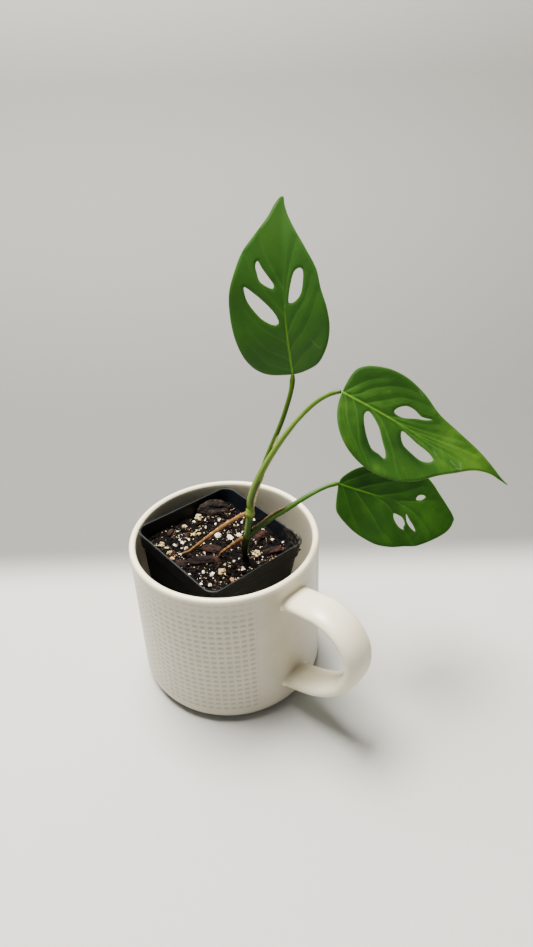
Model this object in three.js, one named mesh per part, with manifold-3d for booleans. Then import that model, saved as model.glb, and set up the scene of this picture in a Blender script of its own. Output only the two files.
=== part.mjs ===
import * as THREE from 'three';
import { mergeVertices } from 'three/addons/utils/BufferGeometryUtils.js';
import Module from 'manifold-3d';

// A young monstera in a square nursery pot, which leans in a glazed mug.
// Millimetres, +Z up. The origin is the mug's axis at its foot, and the handle points along +X.
// The pot and the plant are drawn in a frame turned about Z, in which -Y is the plant's front.

const wasm = await Module();
wasm.setup();

// clear space between two pieces that touch
const seatGap = 0.3;
const frontTurn = THREE.MathUtils.degToRad(45);

const mugSize = {
  height: 86.2,
  rimRadius: 48,
  baseRadius: 48.9,
  footCorner: 8.4,
  wall: 3.2,
  floor: 4,
  insideCorner: 6,
  sides: 60,
};

const handleSize = {
  halfWidth: 8.8,
  halfThickness: 3.8,
  // centre line in the handle's plane: distance from the mug's axis, height
  route: [[46.3, 72.5], [57, 74.7], [68, 76.4], [78.4, 73], [85.3, 64.5], [86.2, 53.5],
    [82.3, 42.6], [75.5, 33.7], [66.6, 26.6], [56.5, 21.4], [46.3, 17.6]],
  // share of the length, share of the section: the roots flare into the wall
  section: [[0, 1.3], [0.04, 1.12], [0.1, 1], [0.9, 1], [0.96, 1.1], [1, 1.25]],
};

const potSize = {
  rim: [-2.1, 1.9, 84],
  rimSide: 62.8,
  baseSide: 47,
  corner: 6,
  wall: 1,
  lip: 0.8,
  lipHeight: 1.4,
  lipProud: 0.3,
  band: 9,
  bandStep: 0.8,
  turn: THREE.MathUtils.degToRad(42),
  lean: THREE.MathUtils.degToRad(4.65),
  drain: 3,
  drainOffset: 14,
};

const soilSize = {
  depth: 8.4,
  cells: 16,
  bump: 0.8,
  unevenness: 0.7,
  grains: 84,
  smallest: 0.8,
  largest: 1.9,
};

// at: centre on the soil. size: length, width, thickness. turn: degrees about the pot's axis.
// arch: how far the ends droop. rise: height over the soil. tip: degrees about its length and its width.
const chipRoughness = 0.16;
const barkChips = [
  { at: [-6.4, 31.1], size: [23, 10, 4.6], turn: 17, arch: 1.6, rise: 2.9, tip: [45, 10] },
  { at: [-5.8, -0.4], size: [14.5, 6.4, 4], turn: -14, arch: 1.8, rise: 0.9 },
  { at: [-9.4, -9.3], size: [19, 7, 4.4], turn: 4, arch: 0.6, rise: 0.6 },
  { at: [18.8, 12], size: [12, 8.5, 4.4], turn: 62, arch: 0.8, rise: 0.6 },
  { at: [25.6, -0.3], size: [12.5, 5, 3.4], turn: 24, arch: 0.6, rise: 0.5 },
  { at: [-28.6, 12], size: [6.5, 3.6, 2.6], turn: 75, arch: 0.3, rise: 0.4 },
  { at: [-20.4, -13.2], size: [8, 5, 2.8], turn: 20, arch: 0.3, rise: 0.5 },
];

const stemRoute = [[9, -0.5, 66], [9.9, -5, 74.3], [10.3, -9, 81.1], [11.1, -12.2, 88.2],
  [12.2, -14.8, 95.8], [13.5, -14, 104], [14.5, -13, 111.5]];
// share of the length, radius: a ring at each node
const stemSection = [[0, 1.5], [0.2, 1.6], [0.6, 1.7], [0.67, 2.1], [0.71, 1.8], [0.86, 1.75],
  [0.93, 2.35], [0.98, 2.1], [1, 1.5]];

const stalks = {
  petiole_right: {
    route: [[14.5, -13, 111], [15.4, -13.2, 118.5], [20, -14, 131.4], [27.3, -15.2, 145.7],
      [35.4, -17, 158.8], [43.2, -19, 168.6], [49.6, -21.2, 174], [53.2, -21.8, 175.2]],
    section: [[0, 1.7], [0.04, 1.9], [0.18, 1.85], [0.27, 1.6], [0.36, 1.45], [0.5, 1.25], [0.6, 1.2],
      [0.68, 0.98], [0.84, 0.93], [0.93, 0.85], [0.97, 1.05], [1, 0.85]],
  },
  petiole_upper: {
    route: [[15.4, -11.2, 113], [18.2, -11.5, 124], [21.4, -11.3, 134], [25.1, -10.2, 143.2],
      [29.6, -8.6, 153.8], [32.4, -6.8, 161.5], [34.5, -5, 168.6], [35.2, -3.1, 174.1]],
    section: [[0, 0.8], [0.3, 0.95], [0.4, 1.12], [0.9, 1.05], [0.97, 1.2], [1, 0.85]],
  },
  petiole_low: {
    route: [[12.3, -15, 95.4], [16.2, -14.6, 99.4], [23.6, -13.2, 105], [31, -11.6, 108.8],
      [42.8, -8.7, 115], [50.5, -6.5, 117.6], [56.2, -5, 118.35]],
    section: [[0, 1.6], [0.12, 1.65], [0.4, 1.4], [0.7, 1.15], [0.9, 1], [0.97, 1.15], [1, 0.8]],
  },
  aerial_root_long: {
    route: [[14, -13.2, 109.4], [9.6, -13.1, 107.1], [4.6, -12.8, 103.6], [-0.6, -12.4, 99.6],
      [-11.2, -10.4, 89], [-16.9, -8, 82.3], [-21.6, -5, 77.8], [-23.6, -3.6, 74.6]],
    section: [[0, 1], [0.4, 0.9], [0.8, 0.75], [1, 0.55]],
  },
  aerial_root_short: {
    route: [[12.2, -15.2, 95.4], [9.5, -13.6, 93.6], [5.9, -11.4, 89.1], [2.2, -8.9, 84],
      [-1.5, -6.4, 79], [-3, -5.2, 75]],
    section: [[0, 1], [0.3, 0.9], [0.6, 0.8], [1, 0.6]],
  },
};

// Each blade is drawn flat, then laid on its rib. rib: five points from stalk to tip. face: the direction
// that the upper side looks in, at the base and at the tip. left, right: half widths at stations that
// crowd towards base and tip. holes: closed outlines as distance along the rib and across it, left minus.
const blades = {
  leaf_upper: {
    rib: [[35.2, -3, 174.5], [33, -0.5, 192], [32, 3.5, 209], [32, 9, 226], [32.5, 16, 242.5]],
    face: [[-0.16, -0.97, 0.12], [-0.1, -0.93, 0.36]],
    left: [0.5, 9, 14.3, 18, 20.5, 22.2, 22.8, 22.2, 19.5, 16, 10.5, 6, 3.5, 1.5, 0.4],
    right: [0.5, 5, 11, 14.5, 17, 18, 17.3, 15.2, 13.5, 9.5, 5.5, 2.5, 1, 0.6, 0.4],
    holes: [
      [[47, -10], [45.5, -11], [42.5, -10.5], [39.5, -9.5], [37.5, -7], [36.5, -4.5], [38, -4],
        [41, -6], [44.5, -8.5]],
      [[37.5, -15.5], [36, -16], [32, -15], [28, -12.5], [24.5, -9.5], [22, -5.5], [22.5, -3],
        [26, -4], [30, -7], [34, -11]],
      [[44, 6.5], [42.5, 4.5], [38, 3], [33, 2], [30.5, 2], [31, 4.5], [34, 7], [39, 8], [43, 8]],
    ],
    wave: 0.5,
  },
  leaf_right: {
    rib: [[54, -22, 175.2], [71.5, -24, 165], [89, -27, 154.5], [107, -30.5, 146.5], [124, -34, 135]],
    face: [[-0.05, -0.65, 0.76], [0.05, -0.75, 0.66]],
    left: [0.5, 9.6, 13.8, 16.4, 18.2, 18.5, 16.5, 12.5, 9.5, 6.5, 4.5, 2.8, 1.2, 0.5, 0.4],
    right: [0.5, 8, 14.5, 19.5, 22.5, 24, 23.5, 20, 13, 8, 3, 0.6, 0.4, 0.4, 0.4],
    holes: [
      [[24, -3], [24, -5], [27, -8], [31, -8.5], [35, -7.5], [39.5, -8.5], [37, -7], [33, -5.5],
        [28, -3]],
      [[14.5, 2], [12.5, 3.5], [13.5, 7], [17, 12], [21, 15.5], [25, 16], [28, 16.5], [27.5, 14],
        [24, 10], [20, 5.5]],
      [[30.5, 2], [30.5, 4], [33, 7], [37.5, 8.5], [42, 9.5], [45.5, 8.5], [46.5, 6.5], [43, 4.5],
        [38, 3.5], [34, 2.5]],
    ],
    wave: 0.7,
  },
  leaf_low: {
    rib: [[56.5, -5, 118.2], [70.5, -4, 111.5], [85, -4, 106], [100, -4.5, 101], [114, -6, 94.5]],
    face: [[0, -0.68, 0.73], [0.1, -0.72, 0.68]],
    left: [0.5, 3, 6, 9.5, 12.5, 15, 17, 17.5, 17.5, 14.5, 9.5, 6, 3.5, 1.5, 0.4],
    right: [0.5, 11.5, 15, 17.5, 20, 22, 23.5, 23, 21, 19.5, 16.5, 12.5, 8.5, 4.5, 0.4],
    holes: [
      [[41, -3], [41.5, -5], [43.5, -6], [45, -5.5], [43.5, -3.5]],
      [[31, 6.5], [31.5, 9], [34, 12], [36.5, 13], [36.5, 11.5], [37, 10], [35.5, 7.5], [33, 6.5]],
      [[37, 5.5], [38, 9], [40.5, 11.5], [43, 12.5], [42, 10.5], [39.5, 8], [37.5, 5.5]],
    ],
    wave: 0.5,
  },
};
const bladeThickness = 0.7;
const bladeRows = 22;
const bladeColumns = 8;
// the two halves rise from the rib in a shallow valley
const bladeFold = 0.1;
const valleyWidth = 3;
const ribSection = [[0, 0.95], [1, 0.35]];
const ribStops = [0.004, 0.24, 0.48, 0.72, 0.954];
const ribDrop = 0.5;
const edgeHalf = 0.4;
const punchHeight = 6;

const finishes = {
  mug: { color: '#e9e4d6', roughness: 0.45, metalness: 0 },
  pot: { color: '#15171a', roughness: 0.42, metalness: 0 },
  soil: { color: '#2a1f18', roughness: 0.95, metalness: 0 },
  bark: { color: '#4b2a1c', roughness: 0.9, metalness: 0 },
  stem: { color: '#5f8a2c', roughness: 0.5, metalness: 0 },
  stalk: { color: '#6f9c35', roughness: 0.48, metalness: 0 },
  root: { color: '#a5793c', roughness: 0.8, metalness: 0 },
  leaf: { color: '#3a6a24', roughness: 0.42, metalness: 0 },
};

// one seeded draw for everything irregular
function seeded(start) {
  let state = start;
  return () => {
    state = (state * 1664525 + 1013904223) % 4294967296;
    return state / 4294967296;
  };
}

function solid(geometry) {
  const bare = geometry.clone();
  bare.deleteAttribute('normal');
  bare.deleteAttribute('uv');
  const merged = mergeVertices(bare, 1e-4);
  const corners = merged.index.array;
  const kept = [];
  for (let i = 0; i < corners.length; i += 3) {
    const [a, b, c] = [corners[i], corners[i + 1], corners[i + 2]];
    if (a !== b && b !== c && c !== a) kept.push(a, b, c);
  }
  const vertProperties = new Float32Array(merged.attributes.position.array);
  const triVerts = new Uint32Array(kept);
  return new wasm.Manifold(new wasm.Mesh({ numProp: 3, vertProperties, triVerts }));
}

// the largest closed skin alone, without loose scraps and hollows sealed between grains
function outerBody(body) {
  return body.decompose().sort((a, b) => b.volume() - a.volume())[0];
}

function geometryOf(body) {
  const mesh = body.getMesh();
  const geometry = new THREE.BufferGeometry();
  geometry.setAttribute('position', new THREE.Float32BufferAttribute(mesh.vertProperties, 3));
  geometry.setIndex(new THREE.Uint32BufferAttribute(mesh.triVerts, 1));
  geometry.computeVertexNormals();
  return geometry;
}

function node(name, body, finish) {
  const mesh = new THREE.Mesh(geometryOf(body), new THREE.MeshStandardMaterial(finishes[finish]));
  mesh.name = name;
  return mesh;
}

function vectors(points) {
  return points.map((point) => new THREE.Vector3(...point));
}

function reshape(geometry, move) {
  const position = geometry.attributes.position;
  const point = new THREE.Vector3();
  for (let i = 0; i < position.count; i += 1) {
    point.fromBufferAttribute(position, i);
    const moved = move(point);
    position.setXYZ(i, moved.x, moved.y, moved.z);
  }
  return geometry;
}

// a smooth value through evenly spaced numbers, at a share of the way along them
function through(values, share) {
  const last = values.length - 1;
  const start = Math.min(Math.floor(share * last), last - 1);
  const [a, b, c, d] = [-1, 0, 1, 2].map((step) => values[THREE.MathUtils.clamp(start + step, 0, last)]);
  const w = share * last - start;
  return b + 0.5 * w * (c - a + w * (2 * a - 5 * b + 4 * c - d + w * (3 * (b - c) + d - a)));
}

// a value between [share, value] pairs
function along(pairs, share) {
  const next = Math.max(1, pairs.findIndex(([stop]) => stop >= share));
  const [[from, low], [to, high]] = [pairs[next - 1], pairs[next]];
  return THREE.MathUtils.mapLinear(share, from, to, low, high);
}

// a rod along a smooth curve, turned on a lathe and bent; grow adds to its radius
function rod(route, section, { sides = 8, steps = 14, width = 1, thickness = 1, grow = 0 } = {}) {
  const curve = new THREE.CatmullRomCurve3(vectors(route), false, 'catmullrom', 0.5);
  const frames = curve.computeFrenetFrames(steps);
  const outline = [new THREE.Vector2(0, 0)];
  for (let step = 0; step <= steps; step += 1) {
    outline.push(new THREE.Vector2(along(section, step / steps) + grow, step));
  }
  outline.push(new THREE.Vector2(0, steps));
  return solid(reshape(new THREE.LatheGeometry(outline, sides), ({ x, y, z }) => {
    const step = Math.round(y);
    return curve.getPointAt(step / steps)
      .addScaledVector(frames.binormals[step], x * thickness)
      .addScaledVector(frames.normals[step], z * width);
  }));
}

function mug() {
  const { height, rimRadius, baseRadius, footCorner, wall, floor, insideCorner, sides } = mugSize;
  const lip = wall / 2;
  const turnIn = baseRadius - wall - insideCorner;
  const outline = new THREE.Path();
  outline.moveTo(0, 0);
  outline.lineTo(baseRadius - footCorner, 0);
  outline.absarc(baseRadius - footCorner, footCorner, footCorner, -Math.PI / 2, 0, false);
  outline.lineTo(rimRadius, height - lip);
  outline.absarc(rimRadius - lip, height - lip, lip, 0, Math.PI, false);
  outline.lineTo(baseRadius - wall, floor + insideCorner);
  outline.absarc(turnIn, floor + insideCorner, insideCorner, 0, -Math.PI / 2, true);
  outline.lineTo(0, floor);
  const turned = new THREE.LatheGeometry(outline.getPoints(2), sides).rotateX(Math.PI / 2);
  const { route, section, halfWidth, halfThickness } = handleSize;
  const strap = rod(route.map(([reach, z]) => [reach, 0, z]), section,
    { sides: 14, steps: 22, width: halfWidth, thickness: halfThickness });
  return node('mug', solid(turned).add(strap), 'mug');
}

const potPlace = new THREE.Matrix4().makeTranslation(...potSize.rim)
  .multiply(new THREE.Matrix4().makeRotationY(potSize.lean))
  .multiply(new THREE.Matrix4().makeRotationZ(potSize.turn));

// the lowest corner of the leaning pot stands on the mug's floor
const baseReach = (potSize.baseSide / 2) * Math.SQRT2 - (Math.SQRT2 - 1) * potSize.corner;
const potHeight = (potSize.rim[2] - mugSize.floor - seatGap - baseReach * Math.sin(potSize.lean))
  / Math.cos(potSize.lean);

// side of the pot's outer wall at a height under its rim, below the band
function wallSide(z) {
  const highSide = potSize.rimSide - 2 * potSize.bandStep;
  return THREE.MathUtils.mapLinear(z, -potHeight, 0, potSize.baseSide, highSide);
}

// a block with a rounded square section, from z = low to z = high in the pot's own frame
function squareBlock(lowSide, highSide, low, high) {
  const flat = highSide / 2 - potSize.corner;
  const outline = new THREE.Shape();
  outline.absarc(flat, flat, potSize.corner, 0, Math.PI / 2, false);
  outline.absarc(-flat, flat, potSize.corner, Math.PI / 2, Math.PI, false);
  outline.absarc(-flat, -flat, potSize.corner, Math.PI, Math.PI * 1.5, false);
  outline.absarc(flat, -flat, potSize.corner, Math.PI * 1.5, Math.PI * 2, false);
  const block = new THREE.ExtrudeGeometry(outline, { depth: 1, bevelEnabled: false, curveSegments: 3 });
  reshape(block, ({ x, y, z }) => {
    const scale = THREE.MathUtils.lerp(lowSide, highSide, z) / highSide;
    return new THREE.Vector3(x * scale, y * scale, THREE.MathUtils.lerp(low, high, z));
  });
  return solid(block.applyMatrix4(potPlace));
}

// the space in the pot, from its floor to just above its rim, less a gap all round
function potInside(gap) {
  const low = -potHeight + potSize.wall + gap;
  const lowSide = wallSide(low) - 2 * (potSize.wall + gap);
  const highSide = potSize.rimSide - 2 * (potSize.lip + gap);
  return squareBlock(lowSide, highSide, low, potSize.lipHeight);
}

function nurseryPot() {
  const { rimSide, wall, lipHeight, lipProud, band, bandStep, drain, drainOffset } = potSize;
  let shell = squareBlock(wallSide(-potHeight), wallSide(-band / 2), -potHeight, -band / 2)
    .add(squareBlock(wallSide(-band) + 2 * bandStep, rimSide - 2 * lipProud, -band, -lipHeight / 2))
    .add(squareBlock(rimSide, rimSide, -lipHeight, 0))
    .subtract(potInside(0));
  for (const [x, y] of [[1, 1], [-1, 1], [-1, -1], [1, -1], [0, 0]]) {
    const drill = new THREE.CylinderGeometry(drain, drain, 4 * wall, 8).rotateX(Math.PI / 2);
    drill.translate(x * drainOffset, y * drainOffset, -potHeight).applyMatrix4(potPlace);
    shell = shell.subtract(solid(drill));
  }
  return node('nursery_pot', shell, 'pot');
}

// an uneven pebble, faceted
function lump(radii, detail, roughness, draw) {
  const pebble = new THREE.IcosahedronGeometry(1, detail);
  pebble.deleteAttribute('normal');
  pebble.deleteAttribute('uv');
  const merged = mergeVertices(pebble);
  return reshape(merged, ({ x, y, z }) => {
    const size = 1 - roughness * draw();
    return new THREE.Vector3(x * size * radii[0], y * size * radii[1], z * size * radii[2]);
  });
}

// height of the soil in the pot's own frame, before the loose unevenness
function soilTop(x, y) {
  const broad = Math.sin(x * 0.23 + 1.1) * Math.cos(y * 0.19 - 0.4);
  const small = 0.6 * Math.sin(x * 0.41 - y * 0.37);
  return -soilSize.depth + soilSize.bump * (broad + small);
}

function chipPlace({ at, turn, rise, tip = [0, 0] }) {
  const [roll, pitch, yaw] = [...tip, turn].map(THREE.MathUtils.degToRad);
  const local = new THREE.Vector3(...at, potSize.rim[2]).applyMatrix4(potPlace.clone().invert());
  const seat = new THREE.Matrix4().makeTranslation(local.x, local.y, soilTop(local.x, local.y) + rise);
  const lie = new THREE.Euler(roll, pitch, yaw - potSize.turn, 'ZYX');
  return potPlace.clone().multiply(seat).multiply(new THREE.Matrix4().makeRotationFromEuler(lie));
}

function chip(entry, number, grow) {
  const half = entry.size.map((side) => side / 2 + grow);
  const shape = lump(half, 1, chipRoughness, seeded(number + 11));
  reshape(shape, ({ x, y, z }) => new THREE.Vector3(x, y, z - entry.arch * (x / half[0]) ** 2));
  return solid(shape.applyMatrix4(chipPlace(entry))).hull().intersect(potInside(seatGap - grow));
}

function soil(buried) {
  const draw = seeded(7);
  const { cells, unevenness, grains, smallest, largest } = soilSize;
  const block = new THREE.BoxGeometry(potSize.rimSide, potSize.rimSide, potHeight, cells, cells, 1);
  const surface = mergeVertices(block.deleteAttribute('normal').deleteAttribute('uv'));
  reshape(surface, ({ x, y, z }) => {
    const top = soilTop(x, y) + unevenness * (draw() - 0.5);
    return new THREE.Vector3(x, y, z > 0 ? top : -potHeight);
  });
  let body = solid(surface.applyMatrix4(potPlace)).intersect(potInside(seatGap));
  const reach = wallSide(-soilSize.depth) / 2 - 2 * largest;
  for (let count = 0; count < grains; count += 1) {
    const radius = THREE.MathUtils.lerp(smallest, largest, draw() ** 2);
    const x = reach * (2 * draw() - 1);
    const y = reach * (2 * draw() - 1);
    const grain = lump([radius * 1.2, radius, radius * 0.8], 0, 0.2, draw).rotateZ(draw() * Math.PI);
    grain.translate(x, y, soilTop(x, y) + radius * 0.25);
    body = body.add(solid(grain.applyMatrix4(potPlace)));
  }
  for (const piece of buried) body = body.subtract(piece);
  return node('soil', outerBody(body), 'soil');
}

// a place on a blade: distance along the rib, distance across it, height over the middle of its thickness
function bladeFrame({ rib, face, left, right, wave }) {
  const curve = new THREE.CatmullRomCurve3(vectors(rib), false, 'catmullrom', 0.5);
  const length = curve.getLength();
  const [faceBase, faceTip] = vectors(face);
  const widest = Math.max(...left, ...right);
  const place = (distance, across, height) => {
    const share = THREE.MathUtils.clamp(distance / length, 0, 1);
    const forward = curve.getTangent(share);
    const up = faceBase.clone().normalize().lerp(faceTip.clone().normalize(), share);
    up.addScaledVector(forward, -up.dot(forward)).normalize();
    const side = forward.clone().cross(up);
    const valley = bladeFold * (Math.hypot(across, valleyWidth) - valleyWidth);
    const ripple = wave * Math.sin(share * Math.PI * 5 + Math.sign(across)) * (across / widest) ** 2;
    return curve.getPoint(share).addScaledVector(side, across)
      .addScaledVector(up, valley + ripple + height);
  };
  return { length, place };
}

function blade(name, shape) {
  const { length, place } = bladeFrame(shape);
  const spots = [];
  const faces = [];
  const across = bladeColumns + 1;
  const underside = (bladeRows + 1) * across;
  for (const height of [bladeThickness / 2, -bladeThickness / 2]) {
    for (let row = 0; row <= bladeRows; row += 1) {
      const share = row / bladeRows;
      const distance = length * (1 - Math.cos(Math.PI * share)) / 2;
      for (let column = 0; column <= bladeColumns; column += 1) {
        const side = (2 * column) / bladeColumns - 1;
        const half = side < 0 ? through(shape.left, share) : through(shape.right, share);
        spots.push(...place(distance, side * Math.max(half, edgeHalf), height));
      }
    }
  }
  const quad = (a, b, c, d) => faces.push(a, b, c, a, c, d);
  for (let row = 0; row < bladeRows; row += 1) {
    for (let column = 0; column < bladeColumns; column += 1) {
      const corner = row * across + column;
      const [a, b, c, d] = [corner, corner + 1, corner + across + 1, corner + across];
      quad(a, b, c, d);
      faces.push(...[a, c, b, a, d, c].map((spot) => spot + underside));
    }
  }
  const edge = [];
  for (let column = 0; column < bladeColumns; column += 1) edge.push(column);
  for (let row = 0; row < bladeRows; row += 1) edge.push(row * across + bladeColumns);
  for (let column = bladeColumns; column > 0; column -= 1) edge.push(bladeRows * across + column);
  for (let row = bladeRows; row > 0; row -= 1) edge.push(row * across);
  edge.forEach((spot, i) => {
    const next = edge[(i + 1) % edge.length];
    quad(spot, spot + underside, next + underside, next);
  });
  const sheet = new THREE.BufferGeometry();
  sheet.setAttribute('position', new THREE.Float32BufferAttribute(spots, 3));
  sheet.setIndex(faces);

  const ribLine = ribStops.map((share) => place(length * share, 0, -ribDrop).toArray());
  let body = solid(sheet).add(rod(ribLine, ribSection, { sides: 6, steps: 8 }));
  for (const hole of shape.holes) {
    const corners = hole.map(([x, y]) => new THREE.Vector3(x, y, 0));
    const outline = new THREE.CatmullRomCurve3(corners, true, 'catmullrom', 0.5);
    const rim = outline.getPoints(hole.length * 2 - 1).slice(0, -1);
    const window = new THREE.Shape(rim.map(({ x, y }) => new THREE.Vector2(x, y)));
    const punch = new THREE.ExtrudeGeometry(window, { depth: 1, bevelEnabled: false });
    reshape(punch, ({ x, y, z }) => place(x, y, (0.5 - z) * punchHeight));
    body = body.subtract(solid(punch));
  }
  return node(name, body, 'leaf');
}

function stalk(name, grow = 0) {
  return rod(stalks[name].route, stalks[name].section, { sides: 8, steps: 16, grow });
}

const stem = (grow) => rod(stemRoute, stemSection, { sides: 10, steps: 16, grow });
const clearStem = stem(seatGap);
const buried = [clearStem, stalk('aerial_root_long', seatGap), stalk('aerial_root_short', seatGap)];
barkChips.forEach((entry, i) => buried.push(chip(entry, i, seatGap)));

const planting = new THREE.Group();
planting.rotation.z = frontTurn;
planting.add(nurseryPot());
planting.add(soil(buried));
barkChips.forEach((entry, i) => planting.add(node(`bark_chip_${i + 1}`, chip(entry, i, 0), 'bark')));
planting.add(node('stem', stem(0), 'stem'));
planting.add(node('petiole_upper', stalk('petiole_upper').subtract(clearStem), 'stalk'));
planting.add(node('petiole_right',
  stalk('petiole_right').subtract(clearStem).subtract(stalk('petiole_upper', seatGap)), 'stalk'));
planting.add(node('petiole_low', stalk('petiole_low').subtract(clearStem), 'stalk'));
planting.add(node('aerial_root_long', stalk('aerial_root_long').subtract(clearStem), 'root'));
planting.add(node('aerial_root_short', stalk('aerial_root_short').subtract(clearStem), 'root'));
for (const [name, shape] of Object.entries(blades)) planting.add(blade(name, shape));

const group = new THREE.Group();
group.add(mug());
group.add(planting);

export default group;
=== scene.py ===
import math
import random

import bmesh
import bpy
import numpy as np
from mathutils import Matrix, Vector, noise


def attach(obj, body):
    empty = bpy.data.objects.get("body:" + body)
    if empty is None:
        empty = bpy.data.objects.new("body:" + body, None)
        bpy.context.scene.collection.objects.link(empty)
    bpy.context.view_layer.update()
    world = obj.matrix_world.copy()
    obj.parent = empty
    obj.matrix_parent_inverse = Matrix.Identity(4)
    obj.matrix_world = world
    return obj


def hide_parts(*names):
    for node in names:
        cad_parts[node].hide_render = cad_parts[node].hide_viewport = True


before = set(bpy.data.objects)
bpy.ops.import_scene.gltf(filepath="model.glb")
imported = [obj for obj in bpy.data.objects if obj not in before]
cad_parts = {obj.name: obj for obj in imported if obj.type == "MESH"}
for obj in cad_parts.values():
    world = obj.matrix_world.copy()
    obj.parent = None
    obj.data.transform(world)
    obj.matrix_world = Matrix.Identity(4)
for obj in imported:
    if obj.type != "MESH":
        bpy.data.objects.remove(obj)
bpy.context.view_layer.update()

# Pieces are drawn in millimetres in the plant's own frame, whose front looks along -Y.
# This brings them to metres in the part's frame.
frontAngle = math.radians(45)
frontTurn = Matrix.Rotation(frontAngle, 4, "Z")
toPart = frontTurn @ Matrix.Scale(0.001, 4)


# small helpers

def linearColour(text):
    channels = [int(text[i:i + 2], 16) / 255 for i in (1, 3, 5)]
    return [c / 12.92 if c <= 0.04045 else ((c + 0.055) / 1.055) ** 2.4 for c in channels] + [1]


def addNode(tree, kind, inputs=None, **settings):
    node = tree.nodes.new(kind)
    for name, value in settings.items():
        setattr(node, name, value)
    for name, value in (inputs or {}).items():
        if isinstance(value, bpy.types.NodeSocket):
            tree.links.new(value, node.inputs[name])
        else:
            node.inputs[name].default_value = value
    return node


def newMaterial(name, **sockets):
    # a material, with its nodes, its shader and the place on the object as a vector
    material = bpy.data.materials.new(name)
    material.use_nodes = True
    tree = material.node_tree
    shader = tree.nodes["Principled BSDF"]
    for socket, value in sockets.items():
        shader.inputs[socket.replace("_", " ")].default_value = value
    return material, tree, shader, addNode(tree, "ShaderNodeTexCoord").outputs["Object"]


def addRamp(tree, factor, stops, **settings):
    ramp = addNode(tree, "ShaderNodeValToRGB", {"Fac": factor})
    points = ramp.color_ramp.elements
    for place, colour in stops[2:]:
        points.new(place)
    for point, (place, colour) in zip(points, stops):
        point.position = place
        point.color = linearColour(colour)
    for name, value in settings.items():
        setattr(ramp.color_ramp, name, value)
    return ramp.outputs["Color"]


def noiseOn(tree, vector, scale, detail, roughness=0.5):
    inputs = {"Vector": vector, "Scale": scale, "Detail": detail, "Roughness": roughness}
    return addNode(tree, "ShaderNodeTexNoise", inputs).outputs["Fac"]


def remap(tree, value, low, high, toLow=0, toHigh=1, **settings):
    inputs = {"Value": value, "From Min": low, "From Max": high, "To Min": toLow, "To Max": toHigh}
    return addNode(tree, "ShaderNodeMapRange", inputs, **settings).outputs["Result"]


def reckon(tree, operation, *values):
    return addNode(tree, "ShaderNodeMath", dict(enumerate(values)), operation=operation).outputs["Value"]


def painted(tree, label, output="Fac"):
    # what the mesh's own attribute says
    return addNode(tree, "ShaderNodeAttribute", attribute_name=label).outputs[output]


def heightOf(tree, spot):
    return addNode(tree, "ShaderNodeSeparateXYZ", {"Vector": spot}).outputs["Z"]


def overlay(tree, base, amount, shade, strength=1):
    # lays a shade over a colour, as far as an amount between 0 and 1 says
    mix = addNode(tree, "ShaderNodeMix", {0: reckon(tree, "MULTIPLY", amount, strength)}, data_type="RGBA")
    mix.inputs[7].default_value = linearColour(shade)
    tree.links.new(base, mix.inputs[6])
    return mix.outputs[2]


def finishSkin(tree, shader, colour, height, strength, depth, under=None):
    # gives the shader its colour, and a bump from a height, over another bump if there is one
    tree.links.new(colour, shader.inputs["Base Color"])
    bump = addNode(tree, "ShaderNodeBump", {"Height": height, "Strength": strength, "Distance": depth})
    if under is not None:
        tree.links.new(under, bump.inputs["Normal"])
    tree.links.new(bump.outputs["Normal"], shader.inputs["Normal"])


def smoothStep(low, high, value):
    t = np.clip((np.asarray(value, float) - low) / (high - low), 0, 1)
    return t * t * (3 - 2 * t)


def unit(vectors):
    vectors = np.asarray(vectors, float)
    return vectors / np.maximum(np.linalg.norm(vectors, axis=-1, keepdims=True), 1e-12)


def cubic(a, b, c, d, w):
    return b + 0.5 * w * (c - a + w * (2 * a - 5 * b + 4 * c - d + w * (3 * (b - c) + d - a)))


def curveAt(points, shares):
    # the smooth curve through the points that the solids follow too, at shares of its parameter
    points = np.asarray(points, float)
    last = len(points) - 1
    spot = np.clip(np.asarray(shares, float), 0, 1) * last
    start = np.minimum(spot.astype(int), last - 1)
    padded = np.vstack([2 * points[0] - points[1], points, 2 * points[-1] - points[-2]])
    return cubic(*(padded[start + step] for step in range(4)), (spot - start)[:, None])


def evenCurve(points, shares):
    # the same curve, at shares of its length
    fine = curveAt(points, np.linspace(0, 1, 801))
    reach = np.concatenate([[0], np.cumsum(np.linalg.norm(np.diff(fine, axis=0), axis=1))])
    wanted = np.asarray(shares, float) * reach[-1]
    return np.stack([np.interp(wanted, reach, fine[:, axis]) for axis in range(3)], axis=1), reach[-1]


def through(values, shares):
    # a smooth value through evenly spaced numbers
    values = np.asarray(values, float)
    last = len(values) - 1
    spot = np.clip(shares, 0, 1) * last
    start = np.minimum(spot.astype(int), last - 1)
    return cubic(*(values[np.clip(start + step, 0, last)] for step in (-1, 0, 1, 2)), spot - start)


def between(pairs, shares):
    stops = np.asarray(pairs, float)
    return np.interp(shares, stops[:, 0], stops[:, 1])


def closedLine(points, steps):
    # a smooth closed outline through points in a plane
    points = np.asarray(points, float)
    count = len(points)
    spot = np.arange(count * steps) / steps
    start = spot.astype(int)
    return cubic(*(points[(start + step) % count] for step in (-1, 0, 1, 2)), (spot - start)[:, None])


def gridOf(rows, columns):
    # a sheet of cells, with each corner's row and column
    bm = bmesh.new()
    bmesh.ops.create_grid(bm, x_segments=columns, y_segments=rows, size=1)
    spots = np.array([corner.co for corner in bm.verts])
    column = np.rint((spots[:, 0] + 1) / 2 * columns).astype(int)
    row = np.rint((spots[:, 1] + 1) / 2 * rows).astype(int)
    return bm, row, column


def moveCorners(bm, spots):
    for corner, spot in zip(bm.verts, spots):
        corner.co = spot


def cornersOf(items):
    return [item for item in items if isinstance(item, bmesh.types.BMVert)]


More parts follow.
